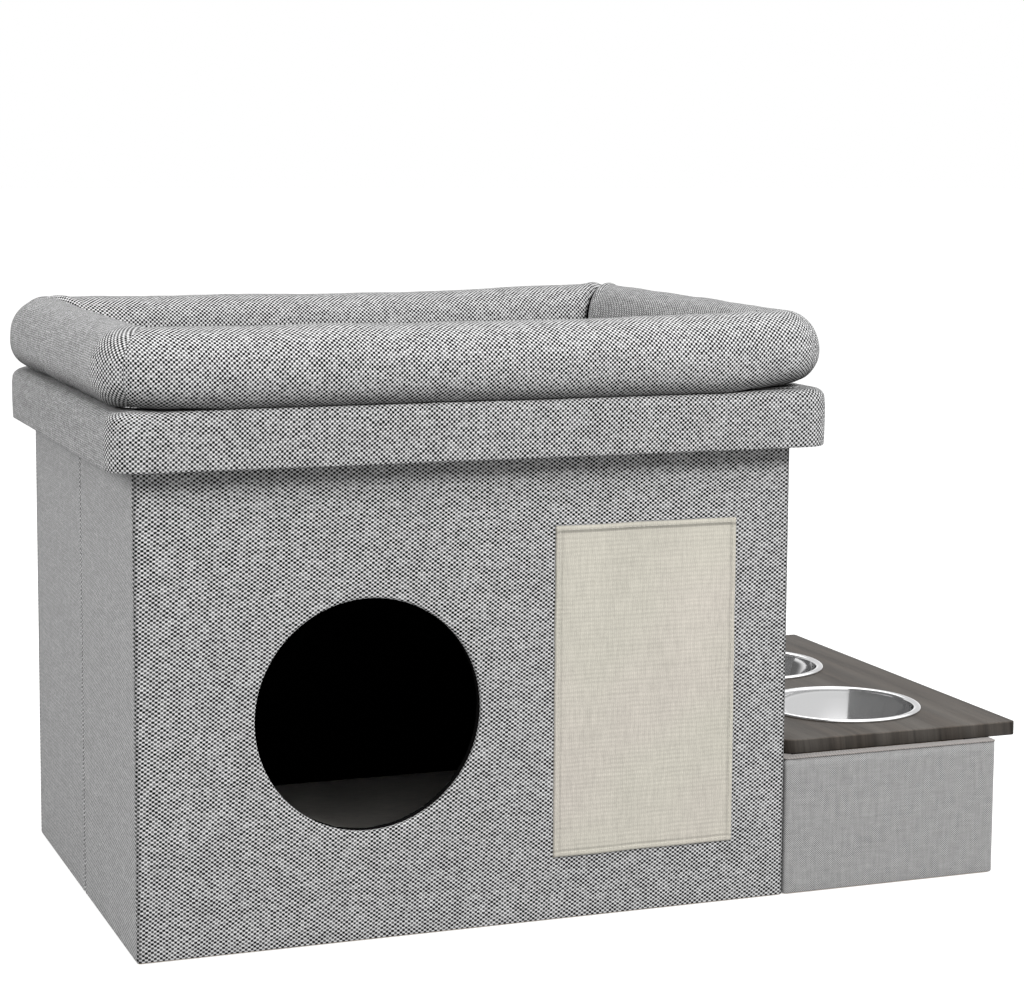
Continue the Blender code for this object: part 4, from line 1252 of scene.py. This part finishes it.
def bolster(side, ns=150, nc=52):
    """One stuffed side of the bed, cut at 45 degrees at both ends: its points, cloth coordinates, normals and distances from the sewn ends."""
    x0, x1, y0, y1 = RING_RECT
    cx, cy = (x0 + x1) / 2, (y0 + y1) / 2
    hx, hy = (x1 - x0) / 2, (y1 - y0) / 2
    half, depth = (hx, hy) if side in (0, 2) else (hy, hx)
    tangent, outward = SIDE_AXES[side]
    own, girth = section(nc, *STUFFING[side])
    k = np.linspace(-1, 1, ns)
    k = k + 0.10 * np.sin(np.pi * k) / np.pi * 1.6  # a little closer together at the ends
    k /= k[-1]
    P = np.zeros((ns, nc, 3))
    N = np.zeros((ns, nc, 3))
    S = np.zeros((ns, nc))
    E = np.zeros((ns, nc))
    for end, rows in ((-1, k < 0), (1, k >= 0)):
        R = CORNERS[side if end < 0 else (side + 1) % 4]
        joint, _ = section(nc, *AT_CORNERS[side if end < 0 else (side + 1) % 4])  # the same for both sides, which are sewn together there
        radius = np.maximum(R - joint[0], 0.0)
        straight = np.where(radius > 0, half - R, half - joint[0])
        total = straight + radius * math.pi / 4
        s = np.abs(k[rows])[:, None] * total
        w = np.clip((total - s) / 0.085, 0, 1)
        w = w * w * (3 - 2 * w)
        d, z, n_out, n_up = joint[:, None] * (1 - w) + own[:, None] * w
        over = np.clip(s - straight, 0, None)
        a = np.where(radius > 1e-6, over / np.maximum(radius, 1e-6), 0.0)
        r = np.maximum(R - d, 0.0) * (radius > 0)
        along_ = end * (np.minimum(s, straight) + r * np.sin(a))
        P[rows] = along_[..., None] * tangent + (depth - d - r * (1 - np.cos(a)))[..., None] * outward
        P[rows, :, 2] = z
        N[rows] = n_out[..., None] * (np.cos(a)[..., None] * outward + end * np.sin(a)[..., None] * tangent)
        N[rows, :, 2] = n_up
        S[rows] = end * s
        E[rows] = total - s
    U = np.zeros((ns, nc + 1, 2))
    U[:, :nc, 0] = S
    U[:, nc, 0] = S[:, 0]
    U[:, :, 1] = girth
    P += np.array((cx, cy, 0.0))
    return P, U, N, E


def rise(P):
    """How much higher the ring stands towards its right and back, where it is stuffed harder."""
    across = np.clip((P[..., 0] - 0.32) / 0.18, 0, 1)
    across = across * across * (3 - 2 * across)
    back_ = np.clip(P[..., 1] / D, 0, 1)
    return across * (0.0031 + 0.0019 * back_) + (1 - across) * 0.0003 * back_


def pucker(P, U, N, E, side):
    """Pulls the cloth in at the sewn ends, gathers it there, and gives the stuffing a little unevenness."""
    ns, nc = P.shape[:2]
    phi = 2 * np.pi * np.arange(nc) / nc  # 0 underneath, a quarter outside, a half on top
    s = U[:, :nc, 0]
    sign = (s > 0).astype(int)
    r = np.random.default_rng(80 + side)
    move = np.zeros((ns, nc))
    for e in (0, 1):
        mine = sign == e
        # pulled in most on the outer face, hardly on top of the front corners
        outside = np.exp(-(((phi - 1.35) / 0.95) ** 2))
        on_top = np.exp(-(((phi - 3.3) / 0.9) ** 2))
        front_end = side == 0 or (side == 3 and e == 1) or (side == 1 and e == 0)
        depth = 0.0004 + 0.0010 * outside + (0.0002 if front_end else 0.0011) * (1 - outside)
        valley = -depth[None, :] * np.exp(-((E / 0.0040) ** 1.3))
        # behind, the cloth stands up in a ridge on both sides of the seam
        ridge = (0.0003 if front_end else 0.0019) * on_top[None, :] * np.exp(-(((E - 0.0085) / 0.0060) ** 2))
        ripple = np.zeros((1, nc))
        for kk in (9, 13, 17, 22):
            ripple = ripple + r.uniform(0.5, 1.0) * np.sin(kk * phi + r.uniform(0, 6))[None, :]
        ripple = ripple / 4
        # more gathering on the inner side, where the mitre is tight, and low down outside
        where = 0.25 + 0.75 * (0.5 + 0.5 * np.sin(phi + np.pi))[None, :] + 0.5 * np.exp(-(((phi - 0.6) / 0.4) ** 2))[None, :]
        wave = 0.0011 * ripple * where * np.exp(-E / 0.016) * (1 - np.exp(-E / 0.003))
        move += np.where(mine, valley + ridge + wave, 0.0)
    spot = np.stack([s, np.broadcast_to(phi * 0.03, s.shape)], -1)
    uneven = 0.0007 * value_noise(spot, 0.11, 90 + side) + 0.00025 * value_noise(spot, 0.035, 95 + side)
    move += uneven * (1 - np.exp(-E / 0.02))
    upper = np.clip((P[..., 2] - RING_Z) / RING_RV, 0, 1)
    P = P + N * move[..., None]
    P[..., 2] += rise(P) * upper
    # it rests on the cloth below
    P[..., 2] = np.maximum(P[..., 2], foot(P))
    return P


def sew_ends(piece):
    """Keeps the edges of the sewn ends crisp, so that the cloth doesn't shade round into them."""
    bm = bmesh.new()
    bm.from_mesh(piece.data)
    crease = bm.edges.layers.float.get("crease_edge") or bm.edges.layers.float.new("crease_edge")
    for edge in bm.edges:
        if len(edge.link_faces) == 2 and edge.calc_face_angle() > math.radians(33):
            edge[crease] = 1.0
            edge.smooth = False
    bm.to_mesh(piece.data)
    bm.free()


bolsters = []
for side, hand in enumerate(("front", "right", "back", "left")):
    P, U, N, E = bolster(side)
    P = pucker(P, U, N, E, side)
    tangent, _ = SIDE_AXES[side]
    gap = 0.00012
    P[0] += tangent * gap
    P[-1] -= tangent * gap
    skin = Skin()
    base = skin.add(P, U, wrap=(False, True), flip=True)
    nc = P.shape[1]
    ns = P.shape[0]
    # sewn ends: a shrunken loop and a closing face inside the mitre
    for row, order in ((0, 1), (ns - 1, -1)):
        centre = P[row].mean(0)
        small = centre + (P[row] - centre) * 0.55
        loop = np.array([P[row], small])
        extra = np.zeros((2, nc + 1, 2))
        b2 = skin.add(loop, extra, wrap=(False, True), flip=(row != 0))
        ids = [b2 + nc + j for j in range(nc)]
        skin.polygon(ids if row == 0 else ids[::-1], np.zeros((nc, 2)))
    piece = skin.build(f"stuffed_bolster_{hand}", BOLSTER_CLOTH, "bed", weld=2e-6, outward=True)
    sew_ends(piece)
    smooth_subdivide(piece, 1)
    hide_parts(f"bolster_{hand}")
    bolsters.append(piece)

# base cloth of the bed
skin = Skin()
loops = []
for d in (0.0180, 0.0186, 0.030, 0.050, 0.080, 0.12, 0.16, 0.19):
    o = outline(RING_RECT, 0.034, d, 6, 30)
    z = 0.4061 + 0.00012 * value_noise(o, 0.1, 101)
    loops.append(np.column_stack([o, z]))
flat = np.array(loops)[..., :2]
flat = np.concatenate([flat, flat[:, :1]], 1)
base = skin.add(np.array(loops), flat, wrap=(False, True), flip=True)
n = len(loops[0])
skin.polygon([base + 7 * n + i for i in range(n)], np.array(loops)[-1][:, :2])
under = skin.build("bed_under_cloth", BED_CLOTH, "bed")
thicken(under, 0.0006)
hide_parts("bed_base_cloth")

well = 0.0595
pad_rect = (RING_RECT[0] + well, RING_RECT[1] - well, RING_RECT[2] + well, RING_RECT[3] - well)
skin = pillow("bed_pad", pad_rect, 0.020, 0.4068, 0.4255, 36, (0.004, 0.010, 0.018, 0.028, 0.040, 0.055, 0.072, 0.092, 0.112), BED_CLOTH, "bed", crown=0.0030, seed=110, lumps=0.0012)
bed_pad = skin.build("bed_cushion", BED_CLOTH, "bed", outward=True, weld=1e-5)


def on_the_lid(points):
    points = points.copy()
    points[:, 2] = np.maximum(points[:, 2], foot(points))
    return points


def sewn_or_lying(points):
    """The bolsters' sewn ends and the cloth that they lie on."""
    x0, x1, y0, y1 = RING_RECT
    px = np.minimum(points[:, 0] - x0, x1 - points[:, 0])
    py = np.minimum(points[:, 1] - y0, y1 - points[:, 1])
    corner = np.abs(px - py) < 0.007
    return corner | (points[:, 2] < foot(points) + 0.0012)


def in_the_well(points):
    points = points.copy()
    for axis, low, high in ((0, pad_rect[0], pad_rect[1]), (1, pad_rect[2], pad_rect[3]), (2, 0.4067, 0.4300)):
        points[:, axis] = np.clip(points[:, axis], low, high)
    return points


def pad_seam(points):
    """The seam round the pad's edge."""
    px = np.minimum(points[:, 0] - pad_rect[0], pad_rect[1] - points[:, 0])
    py = np.minimum(points[:, 1] - pad_rect[2], pad_rect[3] - points[:, 1])
    return (np.minimum(px, py) < 0.004) | (points[:, 2] < 0.4090)


jobs = [(bed_pad, {"voxel": 0.005, "pins": pad_seam, "cap": 0.005, "pressure": 1.5, "stretch": 60.0, "bend": 2.0, "fix": in_the_well})]
for piece in bolsters:
    jobs.append((piece, {"pins": sewn_or_lying, "cap": 0.0016, "pressure": 6.0, "stretch": 20.0, "fix": on_the_lid}))
simulate(jobs)
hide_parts("bed_pad")

# ================================================================ feeding box
rows = []
for a in np.linspace(0, 90, 4):
    t = math.radians(a)
    rows.append((0.0010 * (1 - math.sin(t)), 0.0014 - 0.0010 * math.cos(t)))
rows += [(0.0, z) for z in np.linspace(0.0014, FEEDER_H + 0.0004, 16)[1:]]
loops, spots = band(FEEDER_RECT, FEEDER_R, rows, corner_steps=8, side_steps=36)
for i, (d, z) in enumerate(rows):
    if 0.004 < z < 0.105:
        centre = np.array((0.6168, D / 2, z))
        out = loops[i] - centre
        out = np.where(np.abs(out / np.array((0.0962, 0.19, 1.0))) > 0.97, np.sign(out), 0.0)
        out[:, 2] = 0
        loops[i] += out * 0.00018 * value_noise(loops[i], 0.08, 120)[:, None]
skin = Skin()
skin.add(loops, spots, wrap=(False, True), flip=True)
box_cloth = skin.build("feeder_cloth", FEEDER_CLOTH, "feeder")
thicken(box_cloth, 0.0008)
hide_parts("feeder_cover")

# rim binding: a folded strip over the wall tops, with its outer edge turned just over the cover
rows = [(0.0003, 0.1099), (-0.0001, 0.10965), (-0.0005, 0.10965), (-0.0007, 0.1098), (-0.0007, 0.1101), (-0.0001, 0.11035), (0.0010, 0.1104), (0.0060, 0.11035), (0.0105, 0.1104), (0.0117, 0.1102), (0.0122, 0.1096), (0.0121, 0.1060), (0.0117, 0.1058), (0.0114, 0.1062), (0.0113, 0.1094), (0.0060, 0.1098), (0.0010, 0.1099), (0.0004, 0.1099)]
loops, spots = band(FEEDER_RECT, FEEDER_R, rows, corner_steps=8, side_steps=60, wrap_profile=True)
loops[..., 2] += 0.00007 * value_noise(loops[..., :2], 0.02, 121)
skin = Skin()
skin.add(loops, spots, wrap=(True, True))
strip = skin.build("feeder_rim_strip", RIM, "feeder", outward=True)
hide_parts("feeder_rim_binding")

rows = [(0.0114, z) for z in np.linspace(0.0066, 0.1088, 12)]
loops, spots = band(FEEDER_RECT, 0.0116, rows, corner_steps=3, side_steps=30)
skin = Skin()
skin.add(loops, spots, wrap=(False, True), flip=True)
box_lining = skin.build("feeder_lining_sheet", BLACK, "feeder")
thicken(box_lining, 0.0005)
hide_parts("feeder_lining")


# ---------------------------------------------------------------- wood board
def board_piece():
    e = 0.0009
    rows = []
    for a in np.linspace(0, 90, 4):
        t = math.radians(a)
        rows.append((e * (1 - math.sin(t)), TOP_Z0 + e * (1 - math.cos(t))))
    for a in np.linspace(0, 90, 4):
        t = math.radians(a)
        rows.append((e * (1 - math.cos(t)), TOP_Z1 - e * (1 - math.sin(t))))
    loops = []
    for d, z in rows:
        o = outline((TOP[0] + 0.0045, TOP[1], TOP[2], TOP[3]), TOP_CORNERS, d, 10, 8)
        loops.append(np.column_stack([o, np.full(len(o), z)]))
    holes = []
    nh = 96
    a = 2 * np.pi * np.arange(nh) / nh
    skin = Skin()
    base = skin.add(np.array(loops), wrap=(False, True), flip=True)
    n = len(loops[0])
    outer_low = [base + i for i in range(n)]
    outer_high = [base + (len(rows) - 1) * n + i for i in range(n)]
    low_rings, high_rings = [], []
    for y in BOWL_Y:
        rings = []
        for r, z in ((BOWL_HOLE_R + 0.0005, TOP_Z0), (BOWL_HOLE_R, TOP_Z0 + 0.0005), (BOWL_HOLE_R, TOP_Z1 - 0.0005), (BOWL_HOLE_R + 0.0005, TOP_Z1)):
            rings.append(np.stack([BOWL_X + r * np.cos(a), y + r * np.sin(a), np.full(nh, z)], -1))
        b = skin.add(np.array(rings), wrap=(False, True))
        low_rings.append([b + i for i in range(nh)])
        high_rings.append([b + 3 * nh + i for i in range(nh)])
    piece = skin.build("feeder_board", WOOD, "feeder_top", weld=0, smooth=False)
    bm = bmesh.new()
    bm.from_mesh(piece.data)
    bm.verts.ensure_lookup_table()
    for outer, inners in ((outer_low, low_rings), (outer_high, high_rings)):
        edges = []
        for ring in [outer] + inners:
            for i, v in enumerate(ring):
                edges.append(bm.edges.get((bm.verts[v], bm.verts[ring[(i + 1) % len(ring)]])))
        bmesh.ops.triangle_fill(bm, use_beauty=True, use_dissolve=False, edges=edges)
    bmesh.ops.recalc_face_normals(bm, faces=bm.faces[:])
    bm.to_mesh(piece.data)
    bm.free()
    piece.data.shade_smooth()
    piece.data.set_sharp_from_angle(angle=math.radians(38))
    return piece


board = board_piece()
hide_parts("feeder_top_board")


# ---------------------------------------------------------------- bowls
def bowl(name, y, body):
    sheet = 0.0009
    rim = TOP_Z1 + 0.0003 + 0.0016
    floor_r, wall_r, rim_r, deep = 0.046, 0.0632, 0.068, 0.041
    inside = [(0.0, -deep + 0.0006), (0.012, -deep + 0.0005), (0.026, -deep + 0.0002), (floor_r - 0.006, -deep)]
    corner = 0.0065
    for t in np.linspace(0, 1, 8)[1:]:
        a = math.radians(70 * t)
        inside.append((floor_r - 0.006 + corner * math.sin(a) * 1.25, -deep + corner * (1 - math.cos(a))))
    r1, z1 = inside[-1]
    top_r = wall_r - sheet - 0.0015
    for t in np.linspace(0, 1, 12)[1:-1]:
        inside.append((r1 + (top_r - r1) * t**0.86, z1 + (-0.0034 - z1) * t))
    for a in np.linspace(0, 90, 8):
        t = math.radians(a)
        inside.append((top_r + 0.0014 * (1 - math.cos(t)), -0.0024 + 0.0026 * math.sin(t)))
    # a broad lip, gently domed, its edge turned down to the board
    inside += [(0.0631, 0.00055), (0.0642, 0.0007), (0.0653, 0.0006), (0.0662, 0.0003), (0.0668, 0.0), (0.0671, -0.0003), (0.06725, -0.0005), (0.0673, -0.0006), (0.0673, -0.0010), (0.0673, -0.0014), (0.0673, -0.0016)]
    under = [(0.0671, -0.0017), (0.0666, -0.0017), (0.0664, -0.0012), (0.0659, -0.0006), (0.0645, -0.0003), (wall_r - 0.0004, -0.0006), (wall_r - 0.0012, -0.0016)]
    outer = []
    for t in np.linspace(1, 0, 12)[1:]:
        outer.append((r1 + sheet + (top_r - r1) * t**0.86, z1 - 0.0003 + (-0.0034 - z1) * t))
    outer += [(r1 - 0.001, z1 - 0.0014), (floor_r - 0.0052, -deep - sheet), (0.026, -deep - sheet + 0.0001), (0.0, -deep - sheet + 0.0004)]
    profile = np.array(inside + under + outer)
    n = 144
    a = 2 * np.pi * np.arange(n) / n
    P = np.stack([BOWL_X + profile[:, :1] * np.cos(a), y + profile[:, :1] * np.sin(a), np.repeat(rim + profile[:, 1:], n, 1)], -1)
    skin = Skin()
    skin.add(P, wrap=(False, True), flip=True)
    piece = skin.build(name, STEEL, body, weld=2e-5, outward=True, sharp=50)
    return piece


for name, node, y in (("steel_bowl_front", "bowl_front", BOWL_Y[0]), ("steel_bowl_rear", "bowl_rear", BOWL_Y[1])):
    piece = bowl(name, y, node)
    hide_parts(node)

# ================================================================ finishes of the rigid pieces
FINISH = {
    "front_board": BOARD,
    "back_board": BOARD,
    "left_wall_front_half": BOARD,
    "left_wall_rear_half": BOARD,
    "right_wall_front_half": BOARD,
    "right_wall_rear_half": BOARD,
    "base_board": BASE,
    "lid_board": BOARD,
    "lid_rail_front": BOARD,
    "lid_rail_right": BOARD,
    "lid_rail_back": BOARD,
    "lid_rail_left": BOARD,
    "feeder_front_board": BOARD,
    "feeder_back_board": BOARD,
    "feeder_left_board": BOARD,
    "feeder_right_board": BOARD,
    "feeder_bottom_board": BOARD,
    "feeder_batten_front": BOARD,
    "feeder_batten_rear": BOARD,
    "feeder_screw_1": ZINC,
    "feeder_screw_2": ZINC,
    "feeder_screw_3": ZINC,
    "feeder_screw_4": ZINC,
}
for node, material in FINISH.items():
    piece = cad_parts[node]
    if piece.material_slots:
        for slot in piece.material_slots:
            slot.material = material
    else:
        piece.data.materials.append(material)

# ================================================================ floor
mesh = bpy.data.meshes.new("floor")
mesh.from_pydata([(-30, -30, -0.0006), (30, -30, -0.0006), (30, 30, -0.0006), (-30, 30, -0.0006)], [], [(0, 1, 2, 3)])
floor = bpy.data.objects.new("floor", mesh)
n = Nodes("floor_paint", roughness=0.9, specular=0.0)
x, y, _ = n.parts(n.place())
away = n.calc("SQRT", n.add(n.mul(x, x), n.mul(y, y)))
n.shader.inputs["Emission Color"].default_value = (1.0, 1.0, 1.0, 1.0)
n.put(n.shader.inputs["Emission Strength"], n.span(away, 0.35, 2.2, 0.68, 0.66))
n.finish((0.25, 0.25, 0.25))
mesh.materials.append(n.material)
scene.collection.objects.link(floor)
